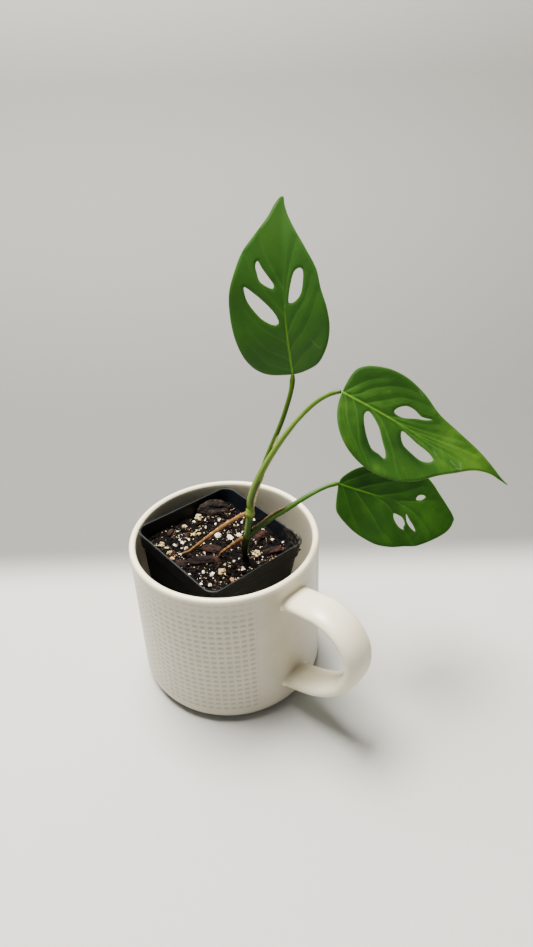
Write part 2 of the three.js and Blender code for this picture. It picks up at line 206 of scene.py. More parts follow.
def closeSkin(bm):
    bmesh.ops.holes_fill(bm, edges=[edge for edge in bm.edges if edge.is_boundary], sides=0)
    bmesh.ops.recalc_face_normals(bm, faces=bm.faces)


def tubeOf(rings):
    # a skin through rings of corners, with its two ends closed
    rings = np.asarray(rings, float)
    count, sides = rings.shape[:2]
    bm, row, column = gridOf(count - 1, sides)
    moveCorners(bm, rings[row, column % sides])
    bmesh.ops.remove_doubles(bm, verts=bm.verts, dist=1e-5)
    closeSkin(bm)
    return bm


def rodRings(route, section, steps, sides, shape=None):
    # rings square to a route; section gives the radius by share of the length
    shares = np.linspace(0, 1, steps + 1)
    line, length = evenCurve(route, shares)
    forward = unit(np.gradient(line, axis=0))
    across = [unit(np.cross(forward[0], [0.3, 0.2, 1.0]))]
    for direction in forward[1:]:
        across.append(unit(across[-1] - direction * np.dot(across[-1], direction)))
    across = np.array(across)
    raised = np.cross(forward, across)
    angle = np.linspace(0, 2 * np.pi, sides, endpoint=False)
    radius = between(section, shares)[:, None] * np.ones(sides)
    if shape is not None:
        radius = radius + shape(shares[:, None] * length, angle[None, :], line)
    ring = across[:, None] * np.cos(angle)[None, :, None] + raised[:, None] * np.sin(angle)[None, :, None]
    return line[:, None] + ring * radius[..., None], line, across, raised


def roundEnds(rings, line, steps=4):
    # closes both ends of a rod with a dome
    def dome(ring, centre, way):
        size = np.linalg.norm(ring - centre, axis=1).mean()
        turns = np.linspace(0, np.pi / 2, steps + 2)[1:]
        return [centre + (ring - centre) * max(np.cos(t), 0.02) + way * size * 0.8 * np.sin(t) for t in turns]
    start = dome(rings[0], line[0], unit(line[0] - line[1]))
    end = dome(rings[-1], line[-1], unit(line[-1] - line[-2]))
    return np.array(start[::-1] + list(rings) + end)


def meshOf(name, bm):
    mesh = bpy.data.meshes.new(name)
    bm.to_mesh(mesh)
    bm.free()
    return mesh


def smoothFaces(mesh):
    mesh.polygons.foreach_set("use_smooth", [True] * len(mesh.polygons))


def addObject(name, data):
    item = bpy.data.objects.new(name, data)
    bpy.context.scene.collection.objects.link(item)
    return item


def newPiece(name, bm, material, nodes, smooth=True):
    # bm is in millimetres in the plant's frame; the finished piece rides with the pot
    bmesh.ops.transform(bm, matrix=toPart, verts=bm.verts)
    mesh = meshOf(name, bm)
    mesh.materials.append(material)
    if smooth:
        smoothFaces(mesh)
    piece = addObject(name, mesh)
    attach(piece, "root")
    for node in nodes:
        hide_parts(node)
    return piece


def bakeModifiers(piece):
    # leaves the modifiers' result as the piece's own mesh
    shown = piece.evaluated_get(bpy.context.evaluated_depsgraph_get())
    mesh = bpy.data.meshes.new_from_object(shown)
    piece.modifiers.clear()
    piece.data = mesh
    return mesh


def cutAway(piece, bm):
    # takes the solid that bm holds out of a piece
    cutter = addObject("cutter", meshOf("cutter", bm))
    knife = piece.modifiers.new("cut", "BOOLEAN")
    knife.operation = "DIFFERENCE"
    knife.solver = "EXACT"
    knife.object = cutter
    bakeModifiers(piece)
    bpy.data.objects.remove(cutter)


def fractal(spots, size, octaves=4, offset=0.0):
    # uneven values of about -1 to 1 whose broadest waves are size millimetres across
    return np.array([noise.fractal(Vector(spot) / size + Vector((offset, 0, 0)), 0.9, 2.1, octaves)
                     for spot in spots])


# the camera stands where the photograph was taken from
view = {
    "spot": (22.557, -256.49, 294.48),  # millimetres, in the plant's frame
    "down": 33.93,
    "roll": -1.935,
    "lens": 24.64,
    "focal": 648.13,  # the same lens in pixels of a 533 x 947 frame
    "middle": (266.5, 473.5),
}
lookTurn = (Matrix.Rotation(math.radians(90 - view["down"]), 4, "X")
            @ Matrix.Rotation(math.radians(view["roll"]), 4, "Z"))
cameraData = bpy.data.cameras.new("viewCamera")
cameraData.sensor_width = 36
cameraData.lens = view["lens"]
cameraData.clip_start = 0.01
camera = addObject("viewCamera", cameraData)
camera.matrix_world = frontTurn @ Matrix.Translation(Vector(view["spot"]) * 0.001) @ lookTurn
bpy.context.scene.camera = camera


def pixelRay(px, py):
    # from the camera through a pixel, in the plant's frame
    right, down = px - view["middle"][0], py - view["middle"][1]
    way = lookTurn.to_3x3() @ Vector((right / view["focal"], -down / view["focal"], -1))
    return Vector(view["spot"]), way


print("camera placed")

# the mug: thrown form with a pressed band of dashes and a pulled strap handle
mugForm = {
    "height": 86.2,
    "rimRadius": 48,
    "baseRadius": 48.9,
    "footCorner": 8.4,
    "wall": 3.2,
    "floor": 4,
    "insideCorner": 6,
    "columns": 80,  # of dashes round the whole wall
    "rows": 22,
    "topRow": 83,
    "rowPitch": 3.41,
    "dash": (2.5, 1.45),  # width and height
    "dashDepth": 0.28,
    "ramp": 1.0,  # width of a dash's soft edge
    "faintTop": 0.35,  # share of the depth that the highest row has, and the drop to the full depth
    "faintReach": 14,
    "plainHalfAngle": 26,  # the wall stays plain this far each side of the handle
    # distance from the axis and height, from the middle of the underside to the foot ring
    "underside": [(0.02, 0.9), (14, 0.9), (26, 0.9), (34, 0.9), (35.4, 0.8), (36.1, 0.5), (36.6, 0.15),
                  (37.4, 0), (39, 0)],
}


def dashStops(size):
    # from the middle of a dash outward, where its soft edge starts, is half done and ends
    return [size / 2 + mugForm["ramp"] * step for step in (-0.5, 0, 0.5)]


def mugProfile(rowHeights, wallTop):
    # distance from the axis and height: up the outside, over the lip and down the inside to the floor
    f = mugForm
    corner, inside, lip = f["footCorner"], f["insideCorner"], f["wall"] / 2
    profile = list(f["underside"])
    for turn in np.linspace(0, math.pi / 2, 12):
        profile.append((f["baseRadius"] - corner + corner * math.sin(turn), corner - corner * math.cos(turn)))
    tall = dashStops(f["dash"][1])
    heights = []
    for centre in sorted(rowHeights):
        heights += [centre - t for t in reversed(tall)] + [centre + t for t in tall]
    heights = [z for z in heights if corner + 0.2 < z < wallTop - 0.1] + [wallTop]
    for z in heights:
        profile.append((np.interp(z, [corner, wallTop], [f["baseRadius"], f["rimRadius"]]), z))
    for turn in np.linspace(0, math.pi, 13)[1:-1]:
        profile.append((f["rimRadius"] - lip + lip * math.cos(turn), wallTop + lip * math.sin(turn)))
    lowRadius = f["baseRadius"] - f["wall"]
    for z in np.linspace(wallTop, f["floor"] + inside, 14):
        radius = np.interp(z, [f["floor"] + inside, wallTop], [lowRadius, f["rimRadius"] - f["wall"]])
        profile.append((radius, z))
    for turn in np.linspace(0, math.pi / 2, 7)[1:]:
        reach, drop = inside * math.cos(turn), inside * math.sin(turn)
        profile.append((lowRadius - inside + reach, f["floor"] + inside - drop))
    return profile + [(28, f["floor"]), (14, f["floor"]), (0.02, f["floor"])]


def dashDepth(row, offset, rise):
    # how deep a place near a dash is pressed, from 0 to 1
    f = mugForm
    deep = 1
    for gap, size in ((offset, f["dash"][0]), (rise, f["dash"][1])):
        stops = dashStops(size)
        deep *= 1 - smoothStep(stops[0], stops[-1], abs(gap))
    full = float(smoothStep(f["topRow"] + 1, f["topRow"] - f["faintReach"], row))
    return float(deep) * (f["faintTop"] + (1 - f["faintTop"]) * full)


def mugBody():
    f = mugForm
    columns = f["columns"]
    pitch = 2 * math.pi / columns
    wallTop = f["height"] - f["wall"] / 2
    rowHeights = [f["topRow"] - f["rowPitch"] * step for step in range(f["rows"])]
    bm = bmesh.new()
    corners = [bm.verts.new((radius, 0, z)) for radius, z in mugProfile(rowHeights, wallTop)]
    for first, second in zip(corners, corners[1:]):
        bm.edges.new((first, second))
    # columns are uneven, so that every dash has a crisp edge
    wide = dashStops(f["dash"][0])
    stops = [-w for w in reversed(wide)] + wide
    bmesh.ops.spin(bm, geom=bm.verts[:] + bm.edges[:], cent=(0, 0, 0), axis=(0, 0, 1), angle=2 * math.pi,
                   steps=columns * len(stops), use_merge=True)
    pit = bm.verts.layers.float.new("pit")
    for vertex in bm.verts:
        angle = math.atan2(vertex.co.y, vertex.co.x)
        radius = math.hypot(vertex.co.x, vertex.co.y)
        index = round(angle / (2 * math.pi) * columns * len(stops))
        column, step = divmod(index, len(stops))
        angle = (column + 0.5) * pitch + stops[step] / f["baseRadius"]
        fromHandle = (angle + frontAngle + math.pi) % (2 * math.pi) - math.pi
        onWall = radius > f["rimRadius"] - 0.2 and f["footCorner"] < vertex.co.z < wallTop - 1
        if onWall and abs(math.degrees(fromHandle)) > f["plainHalfAngle"]:
            row = min(rowHeights, key=lambda z: abs(z - vertex.co.z))
            deep = dashDepth(row, stops[step], vertex.co.z - row)
            radius -= f["dashDepth"] * deep
            vertex[pit] = deep
        vertex.co.x = radius * math.cos(angle)
        vertex.co.y = radius * math.sin(angle)
    closeSkin(bm)
    return bm


handleForm = {
    "halfWidth": 8.8,
    "halfThickness": 3.8,
    "route": [(46.3, 72.5), (57, 74.7), (68, 76.4), (78.4, 73), (85.3, 64.5), (86.2, 53.5),
              (82.3, 42.6), (75.5, 33.7), (66.6, 26.6), (56.5, 21.4), (46.3, 17.6)],
    "section": [(0, 0.97), (0.12, 1), (0.88, 1), (1, 0.98)],
    "squareness": 0.92,  # below 1 the oval section is a little squared
    "fillet": 1.7,
    "sunk": 0.06,  # how far inside the wall's face the fillet ends
    "inner": 0.975,  # share of the radius where the strap ends inside the wall
    "sides": 44,
    "rings": 72,
    "samples": 400,  # along the centre line, to find where it meets the wall
}


def strapSkin():
    # the strap before its ends are joined to the wall: its centre line, its length and its corners
    f = handleForm
    shares = np.linspace(0, 1, f["samples"] + 1)
    line, length = evenCurve([(reach, 0, z) for reach, z in f["route"]], shares)
    forward = unit(np.gradient(line, axis=0))
    outward = np.stack([-forward[:, 2], np.zeros(len(line)), forward[:, 0]], axis=1)
    angle = np.linspace(0, 2 * np.pi, f["sides"], endpoint=False)
    size = between(f["section"], shares)[:, None]
    flat, deep = (np.sign(way) * np.abs(way) ** f["squareness"] * half
                  for way, half in ((np.cos(angle), f["halfWidth"]), (np.sin(angle), f["halfThickness"])))
    skin = line[:, None] + outward[:, None] * (deep * size)[..., None]
    skin[..., 1] += flat * size
    return line, length, skin


def wallRadius(z):
    ends = [mugForm["footCorner"], mugForm["height"]]
    return np.interp(z, ends, [mugForm["baseRadius"], mugForm["rimRadius"]])


def strapRoot(order, line, length, skin):
    # where each line of the strap meets the wall, and a soft curve from it onto the wall
    f = handleForm
    spots, blends = [], []
    for side in range(f["sides"]):
        run = skin[order, side]
        clear = np.hypot(run[:, 0], run[:, 1]) - wallRadius(run[:, 2])
        hit = int(np.argmax(clear < 0))
        start = max(hit - int(f["fillet"] / length * f["samples"]), 0)
        meet = run[hit]
        around = math.atan2(meet[1], meet[0])
        level = np.array([-math.sin(around), math.cos(around), 0])
        offset = meet - line[order][hit]
        onWall = level * offset.dot(level) + np.array([0, 0, offset[2]])
        end = meet + onWall / max(np.linalg.norm(onWall), 1e-6) * f["fillet"]
        turn = math.atan2(end[1], end[0])
        reach = wallRadius(end[2]) - f["sunk"]
        end = np.array([reach * math.cos(turn), reach * math.sin(turn), end[2]])
        steps = np.linspace(0, 1, 9)[1:, None]
        blend = (1 - steps) ** 2 * run[start] + 2 * steps * (1 - steps) * meet + steps ** 2 * end
        blends.append(np.vstack([blend, end * [f["inner"], f["inner"], 1]]))
        spots.append(order[start])
    return np.array(spots), np.array(blends)


def mugHandle():
    f = handleForm
    samples = f["samples"]
    middle = samples // 2
    strap = strapSkin()
    skin = strap[-1]
    highSpots, highBlend = strapRoot(np.arange(middle, -1, -1), *strap)
    lowSpots, lowBlend = strapRoot(np.arange(middle, samples + 1), *strap)
    sides = np.arange(f["sides"])
    rings = []
    for step in range(f["rings"] + 1):
        spot = highSpots + (lowSpots - highSpots) * step / f["rings"]
        low = np.floor(spot).astype(int)
        high = np.minimum(low + 1, samples)
        part = (spot - low)[:, None]
        rings.append(skin[low, sides] * (1 - part) + skin[high, sides] * part)
    before = [highBlend[:, step] for step in range(highBlend.shape[1] - 1, -1, -1)]
    after = [lowBlend[:, step] for step in range(lowBlend.shape[1])]
    bm = tubeOf(before + rings + after)
    bmesh.ops.rotate(bm, cent=(0, 0, 0), matrix=Matrix.Rotation(-frontAngle, 3, "Z"), verts=bm.verts)
    return bm


glazeForm = {
    "body": ("#BAB29E", "#C2BBA8"),  # darkest and lightest of the mottling
    # the handle's glaze: a lighter, warmer copy of the body's, painted light as if lit from above
    "handle": ("#DCD3B8", "#E3DBC4"),
    # painted highlight: the rim top lighter and warmer, as lit from above
    "rim": "#E6DCBE",
    # painted shade in the pressed dashes
    "dashShade": "#A29A88",
    "rimLightBand": (0.0034, 0.0012),  # metres below the top where the rim's painted highlight starts and is full
}


def glazeMaterial(name, dark, light):
    # Stoneware under a satin ivory glaze, dipped and fired: even colour, soft broad highlight, faint
    # mottling, painted shade in the pressed dashes, and a lighter, warmer painted highlight over the rim.
    material, tree, shader, spot = newMaterial(name, IOR=1.5, Coat_Weight=0.25, Coat_Roughness=0.22)
    mottle = noiseOn(tree, spot, 90, 4, 0.6)
    colour = addRamp(tree, mottle, [(0.3, dark), (0.7, light)])
    top = mugForm["height"] / 1000
    edge = remap(tree, heightOf(tree, spot), *(top - drop for drop in glazeForm["rimLightBand"]))
    # painted highlight over the rim top
    colour = overlay(tree, colour, edge, glazeForm["rim"])
    # painted shade in the pressed dashes, as deep as each is pressed
    colour = overlay(tree, colour, painted(tree, "pit"), glazeForm["dashShade"])
    tree.links.new(remap(tree, noiseOn(tree, spot, 420, 3), 0, 1, 0.32, 0.46), shader.inputs["Roughness"])
    finishSkin(tree, shader, colour, mottle, 0.06, 0.001)
    return material


newPiece("mug_body", mugBody(), glazeMaterial("satinIvoryGlaze", *glazeForm["body"]), ["mug"])
# the handle's glaze is painted lighter and warmer than the body's, as lit from above
newPiece("mug_handle", mugHandle(), glazeMaterial("paintedLitHandleGlaze", *glazeForm["handle"]), ["mug"])
print("mug made")

# the nursery pot, in its own frame: its rim lies at z = 0
potForm = {
    "rim": (-2.1, 1.9, 84),
    "rimSide": 62.8,
    "baseSide": 47,
    "corner": 6,
    "wall": 1,
    "lip": 0.8,
    "lipHeight": 1.4,
    "lipProud": 0.3,
    "band": 9,
    "bandStep": 0.8,
    "turn": 42,
    "lean": 4.65,
    "drain": 3,
    "drainOffset": 14,
    "crustSpot": (29, -29, -4),  # the corner that mineral crust spreads from
    "crustReach": 17,
    "seatGap": 0.3,
    "shades": [(0.3, "#04070B"), (0.62, "#0A0F15"), (0.8, "#161B21")],
    "crust": "#8A806A",
}
potPlace = (Matrix.Translation(potForm["rim"]) @ Matrix.Rotation(math.radians(potForm["lean"]), 4, "Y")
            @ Matrix.Rotation(math.radians(potForm["turn"]), 4, "Z"))
potFrame = potPlace.inverted()
# the pot is as tall as it can be with its lowest base corner on the mug's floor
lean = math.radians(potForm["lean"])
baseReach = potForm["baseSide"] / 2 * math.sqrt(2) - (math.sqrt(2) - 1) * potForm["corner"]
potHeight = potForm["rim"][2] - mugForm["floor"] - potForm["seatGap"] - baseReach * math.sin(lean)
potHeight = potHeight / math.cos(lean)


def wallSide(z):
    return np.interp(z, [-potHeight, 0], [potForm["baseSide"], potForm["rimSide"] - 2 * potForm["bandStep"]])


def insideSide(z, gap=0.0):
    low = -potHeight + potForm["wall"] + gap
    lowSide = wallSide(low) - 2 * (potForm["wall"] + gap)
    highSide = potForm["rimSide"] - 2 * (potForm["lip"] + gap)
    return np.interp(z, [low, potForm["lipHeight"]], [lowSide, highSide])


def squareRing(side, z, cornerSteps=8, sideSteps=10):
    # a level ring of corners round a square with rounded corners
    corner = potForm["corner"] * side / potForm["rimSide"]
    flat = side / 2 - corner
    points = []
    for quarter in range(4):
        for turn in np.linspace(0, math.pi / 2, cornerSteps + 1):
            angle = quarter * math.pi / 2 + turn
            x = flat * (1 if quarter in (0, 3) else -1) + corner * math.cos(angle)
            y = flat * (1 if quarter in (0, 1) else -1) + corner * math.sin(angle)
            points.append((x, y, z))
        start = np.array(points[-1])
        x, y = [(-flat, side / 2), (-side / 2, -flat), (flat, -side / 2), (side / 2, flat)][quarter]
        for step in range(1, sideSteps):
            points.append(tuple(start + (np.array([x, y, z]) - start) * step / sideSteps))
    return points


def nurseryPot():
    f = potForm
    low, band = -potHeight, f["band"]
    base, rim, lip = f["baseSide"], f["rimSide"], f["lipHeight"]
    stepSide = wallSide(-band) + 2 * f["bandStep"]
    lipSide = rim - 2 * f["lipProud"]
    floor = low + f["wall"]
    floorSide = insideSide(floor)
    # side and height of each ring, up the outside, over the lip and down the inside
    levels = [(base * 0.5, low), (base - 2.4, low), (base - 0.9, low + 0.15), (base - 0.2, low + 0.6)]
    levels += [(wallSide(z), z) for z in (low + 1.4, low + 6, *np.linspace(low + 14, -band - 6, 7))]
    levels += [(wallSide(z), z) for z in (-band - 1.2, -band - 0.35)]
    levels += [(wallSide(-band) + 0.25, -band - 0.08), (stepSide - 0.3, -band),
               (stepSide - 0.05, -band + 0.15), (stepSide, -band + 0.5), (stepSide + 0.3, -band / 2),
               (lipSide - 0.05, -lip - 0.5), (lipSide, -lip - 0.12), (rim - 0.25, -lip), (rim, -lip + 0.25),
               (rim, -0.45), (rim - 0.12, -0.14), (rim - 0.45, 0), (insideSide(0) + 0.5, 0),
               (insideSide(0) + 0.12, -0.12)]
    levels += [(insideSide(z), z) for z in (-0.45, -2, *np.linspace(-6, floor + 3, 9))]
    levels += [(floorSide - 0.1, floor + 1), (floorSide - 0.6, floor + 0.3), (floorSide - 1.6, floor),
               (floorSide * 0.5, floor)]
    bm = tubeOf([squareRing(side, z) for side, z in levels])
    bmesh.ops.transform(bm, matrix=potPlace, verts=bm.verts)
    return bm


def plasticMaterial():
    # Injection-moulded black polypropylene: blue-black and satin, with faint cloudy flow marks, and the pale
    # mineral crust that watering leaves inside one corner of the rim.
    material, tree, shader, spot = newMaterial("mouldedPolypropylene", IOR=1.49, Specular_IOR_Level=0.2)
    broad = noiseOn(tree, spot, 60, 5, 0.65)
    colour = addRamp(tree, broad, potForm["shades"])
    spotted = remap(tree, noiseOn(tree, spot, 420, 6, 0.7), 0.5, 0.72)
    crust = reckon(tree, "MULTIPLY", painted(tree, "crust"), spotted)
    colour = overlay(tree, colour, crust, potForm["crust"], 0.75)
    tree.links.new(remap(tree, broad, 0, 1, 0.4, 0.6), shader.inputs["Roughness"])
    finishSkin(tree, shader, colour, noiseOn(tree, spot, 700, 3), 0.12, 0.0003)
    return material


pot = newPiece("nursery_pot_shell", nurseryPot(), plasticMaterial(), ["nursery_pot"])
drills = bmesh.new()
for x, y in ((1, 1), (-1, 1), (-1, -1), (1, -1), (0, 0)):
    spot = Matrix.Translation((x * potForm["drainOffset"], y * potForm["drainOffset"], -potHeight))
    bmesh.ops.create_cone(drills, cap_ends=True, segments=24, radius1=potForm["drain"],
                          radius2=potForm["drain"], depth=4, matrix=toPart @ potPlace @ spot)
cutAway(pot, drills)
turnBack = potFrame @ toPart.inverted()
crust = pot.data.attributes.new("crust", "FLOAT", "POINT")
for corner, value in zip(pot.data.vertices, crust.data):
    spot = turnBack @ corner.co
    inside = max(abs(spot.x), abs(spot.y)) < insideSide(spot.z) / 2 + 0.3 or spot.z > -0.5
    reach = (spot - Vector(potForm["crustSpot"])).length
    value.value = float(inside) * float(smoothStep(potForm["crustReach"], 2, reach))
print("pot made")

# potting mix, as a crumbly bed that fills the pot
soilForm = {
    "depth": 8.4,
    "bump": 0.8,
    "cells": 150,
    "clods": (5.5, 1.7),  # size and height of the clods
    "crumbs": 1700,
    "slivers": 420,
    "roundFrom": 1.15,  # larger grains than this are rounded, smaller ones angular
    # smallest size, spread above it, how rare the large ones are
    "crumbSize": (0.22, 1.1, 2.6),
    "sliverLength": (0.5, 1.6, 2),
    "shades": [(0.36, "#020202"), (0.56, "#070504"), (0.68, "#160D0A"), (0.82, "#3C2417")],
}


def soilTop(x, y):
    broad = np.sin(x * 0.23 + 1.1) * np.cos(y * 0.19 - 0.4)
    small = 0.6 * np.sin(x * 0.41 - y * 0.37)
    return -soilForm["depth"] + soilForm["bump"] * (broad + small)


def soilRelief(x, y):
    size, height = soilForm["clods"]
    flat = [(a, b, 0) for a, b in zip(np.ravel(x), np.ravel(y))]
    clods = fractal(flat, size, 5, 3.1)
    return soilTop(np.ravel(x), np.ravel(y)) + height * clods * 0.6


def soilBed():
    cells = soilForm["cells"]
    gap = potForm["seatGap"]
    bm, row, column = gridOf(cells, cells)
    u = 2 * column / cells - 1
    v = 2 * row / cells - 1
    most = np.maximum(np.abs(u), np.abs(v))
    ways = np.stack([u, v], axis=1) / np.maximum(most, 1e-9)[:, None]
    corner = 2 * potForm["corner"] / potForm["rimSide"]
    inner = 1 - corner
    past = np.maximum(np.abs(ways) - inner, 0)
    both = (past.min(axis=1) > 0)[:, None]
    rounded = np.sign(ways) * (inner + corner * unit(past))
    edge = np.where(both, rounded, ways)
    side = insideSide(-soilForm["depth"], gap) / 2
    x, y = (edge * most[:, None] * side).T
    z = soilRelief(x, y)
    moveCorners(bm, np.stack([x, y, z], axis=1))
    rim = [edge for edge in bm.edges if edge.is_boundary]
    grown = bmesh.ops.extrude_edge_only(bm, edges=rim)
    low = -potHeight + potForm["wall"] + gap
    shrink = insideSide(low, gap) / insideSide(-soilForm["depth"], gap)
    for corner in cornersOf(grown["geom"]):
        corner.co = Vector((corner.co.x * shrink, corner.co.y * shrink, low))
    closeSkin(bm)
    bmesh.ops.transform(bm, matrix=potPlace, verts=bm.verts)
    return bm


def addTo(pile, part, centre, draw):
    # lays a loose part down at a place in the pot's frame, turned and tilted by chance
    lie = Matrix.Rotation(draw.random() * 2 * math.pi, 4, "Z")
    tilt = Matrix.Rotation((draw.random() - 0.5) * 0.9, 4, "X")
    bmesh.ops.transform(part, matrix=potPlace @ Matrix.Translation(centre) @ lie @ tilt, verts=part.verts)
    mesh = meshOf("grain", part)
    pile.from_mesh(mesh)
    bpy.data.meshes.remove(mesh)


def addLump(pile, centre, radii, roughness, draw):
    # a rounded, pitted grain
    part = bmesh.new()
    bmesh.ops.create_icosphere(part, subdivisions=3, radius=1)
    shift = draw.random() * 50
    for corner in part.verts:
        way = corner.co.normalized()
        swell = 1 + roughness * noise.noise(way * 1.6 + Vector((shift, 0, 0)))
        swell += roughness * 0.6 * noise.noise(way * 3.7 + Vector((0, shift, 0)))
        swell -= roughness * 0.5 * abs(noise.noise(way * 7 + Vector((0, 0, shift))))
        corner.co = Vector((way.x * radii[0], way.y * radii[1], way.z * radii[2])) * swell
    addTo(pile, part, centre, draw)


def addShard(pile, centre, radii, draw, corners=13):
    # an angular grain: the hull of a few scattered corners
    part = bmesh.new()
    for step in range(corners):
        way = Vector((draw.gauss(0, 1), draw.gauss(0, 1), draw.gauss(0, 1))).normalized()
        way *= 0.8 + 0.35 * draw.random()
        part.verts.new((way.x * radii[0], way.y * radii[1], way.z * radii[2]))
    hull = bmesh.ops.convex_hull(part, input=part.verts[:])
    bmesh.ops.delete(part, geom=cornersOf(hull["geom_interior"]), context="VERTS")
    addTo(pile, part, centre, draw)


def onSoil(px, py):
    # the place in the pot's frame where a pixel of the photograph meets the soil
    start, way = pixelRay(px, py)
    start, end = potFrame @ start, potFrame @ (start + way)
    way = end - start
    share = (-soilForm["depth"] - start.z) / way.z
    for attempt in range(5):
        spot = start + way * share
        height = float(soilRelief(np.array([spot.x]), np.array([spot.y]))[0])
        share = (height - start.z) / way.z
    return start + way * share


# the larger grains: the place in the view where each shows, and its radius in millimetres
seenGrains = {
    "white": [(189, 540, 1.0), (182.4, 543, 1.1), (175.2, 545.8, 1.0), (167.8, 548.4, 0.9), (180, 555, 0.9),
              (186, 548.4, 1.0), (182.4, 549, 0.8), (204.6, 540, 0.8), (172.2, 526.2, 0.9),
              (218.4, 536.2, 1.7), (229.8, 538.4, 1.6), (238.8, 535.8, 1.3), (213, 554.2, 1.0),
              (193.8, 522, 0.9), (219, 520.8, 0.9), (216, 524.4, 0.8), (208.8, 516, 0.8),
              (212.4, 574.8, 1.2), (210, 585.6, 1.1), (203.4, 572.4, 1.0), (201.6, 584.4, 0.9),
              (243.6, 570, 1.1), (239.4, 558.6, 0.8), (234, 561.6, 0.8), (255.6, 544.2, 0.9),
              (272.4, 540, 0.9), (283.2, 542.4, 0.9), (241.8, 522.6, 0.9), (243, 532.8, 0.9),
              (253.8, 520.2, 0.9)],
    "tan": [(198.8, 518.4, 2.1), (199, 534, 1.0), (184.8, 527.4, 1.2), (162, 546, 1.7), (169.8, 553.2, 1.2),
            (222, 572.4, 2.0), (256.8, 555, 2.0), (224.4, 565.2, 0.8)],
    "orange": [(172.2, 559.2, 1.2), (232.2, 580.8, 1.3)],
    "green": [(193.4, 535.4, 1.3)],
}
looseGrains = {"white": (380, 0.13, 0.6), "tan": (330, 0.13, 0.55)}  # count, smallest and largest radius
grainClusters = {"size": 7, "start": 0.1, "clearing": 0.75}  # the last thins the grains between clusters


def scatter(draw, edge):
    # a chance place on the soil, in the pot's frame
    reach = insideSide(-soilForm["depth"]) / 2 - edge
    x, y = reach * (2 * draw.random() - 1), reach * (2 * draw.random() - 1)
    return Vector((x, y, float(soilRelief(np.array([x]), np.array([y]))[0])))


def grainPile(kind, draw):
    bm = bmesh.new()
    for px, py, radius in seenGrains[kind]:
        spot = onSoil(px, py)
        spot.z += radius * 0.3
        if radius > soilForm["roundFrom"]:
            addLump(bm, spot, (radius * 1.15, radius * 0.95, radius * 0.8), 0.6, draw)
        else:
            addShard(bm, spot, (radius * 1.2, radius * 0.95, radius * 0.8), draw)
    count, smallest, largest = looseGrains.get(kind, (0, 0, 0))
    for step in range(count):
        radius = smallest + (largest - smallest) * draw.random() ** 2.2
        spot = scatter(draw, 1.5)
        while (noise.noise(Vector((spot.x, spot.y, 4)) / grainClusters["size"]) < grainClusters["start"]
               and draw.random() < grainClusters["clearing"]):
            spot = scatter(draw, 1.5)
        spot.z += radius * 0.3
        addShard(bm, spot, (radius * (1 + draw.random()), radius, radius * 0.7), draw, 10)
    return bm


def drawSize(draw, smallest, spread, rarity):
    return smallest + spread * draw.random() ** rarity


def crumbPile(draw):
    bm = bmesh.new()
    for step in range(soilForm["crumbs"]):
        radius = drawSize(draw, *soilForm["crumbSize"])
        spot = scatter(draw, 0.8)
        spot.z += radius * 0.25
        addShard(bm, spot, (radius * (1 + 1.5 * draw.random() ** 2), radius * 0.9, radius * 0.7), draw, 14)
    return bm


def sliverPile(draw):
    # thin torn fibres of bark and coir
    bm = bmesh.new()
    for step in range(soilForm["slivers"]):
        long = drawSize(draw, *soilForm["sliverLength"])
        spot = scatter(draw, 2)
        spot.z += 0.25
        addShard(bm, spot, (long, 0.14 + 0.2 * draw.random(), 0.16), draw, 12)
    return bm


def soilMaterial():
    # Peat and composted bark: matt, near black where damp, brown where a fibre has dried.
    material, tree, shader, spot = newMaterial("dampPeatMix", Roughness=0.9, IOR=1.35,
                                               Specular_IOR_Level=0.15)
    colour = addRamp(tree, noiseOn(tree, spot, 380, 6, 0.7), soilForm["shades"])
    finishSkin(tree, shader, colour, noiseOn(tree, spot, 1500, 4, 0.7), 0.7, 0.0008)
    return material


def grainMaterial(name, dark, light):
    # Expanded and crushed mineral grit: chalky, matt, pitted, with soil dust in its pores.
    material, tree, shader, spot = newMaterial(name, Roughness=0.85, IOR=1.45)
    pits = noiseOn(tree, spot, 900, 4, 0.65)
    colour = addRamp(tree, pits, [(0.32, "#3E3226"), (0.46, dark), (0.62, light)])
    finishSkin(tree, shader, colour, pits, 0.5, 0.0004)
    return material


peat = soilMaterial()
newPiece("soil_bed", soilBed(), peat, ["soil"])
newPiece("soil_crumbs", crumbPile(random.Random(5)), peat, [], smooth=False)
newPiece("soil_slivers", sliverPile(random.Random(6)), grainMaterial("coirFibre", "#24100A", "#5E3420"),
         [], smooth=False)
grainFinishes = {
    "white": ("perlite", "#BDB4A0", "#F4EFE2"),
    "tan": ("pumice", "#857048", "#D2BE94"),
    "orange": ("bakedClay", "#9C6536", "#D2A068"),
    "green": ("slowFeedGranule", "#8F9A3C", "#BEC45E"),
}
for number, (kind, (name, dark, light)) in enumerate(grainFinishes.items()):
    grains = grainPile(kind, random.Random(20 + number))
    newPiece("grains_" + name, grains, grainMaterial(name, dark, light), [], smooth=False)
print("soil made")


# bark chips: the solids, with the torn grain of bark worked into them
barkForm = {
    "voxel": 0.36,
    "ridge": 0.85,  # height of the torn grain, and its spacing
    "ridgeSize": 2.4,
    "pit": 0.4,
    "pitSize": 0.9,
    "pitTop": 0.15,
    "stretch": 0.8,  # how far the grain is drawn out along the chip; 1 would leave no change along it
    "limits": (-0.9, 0.6),  # deepest and highest place of the grain
    "darkEnds": (-0.35, 0.1),  # painted shade in the grain's hollows: darkest below the first height, not darkened above the second
    "smoothings": 3,
}


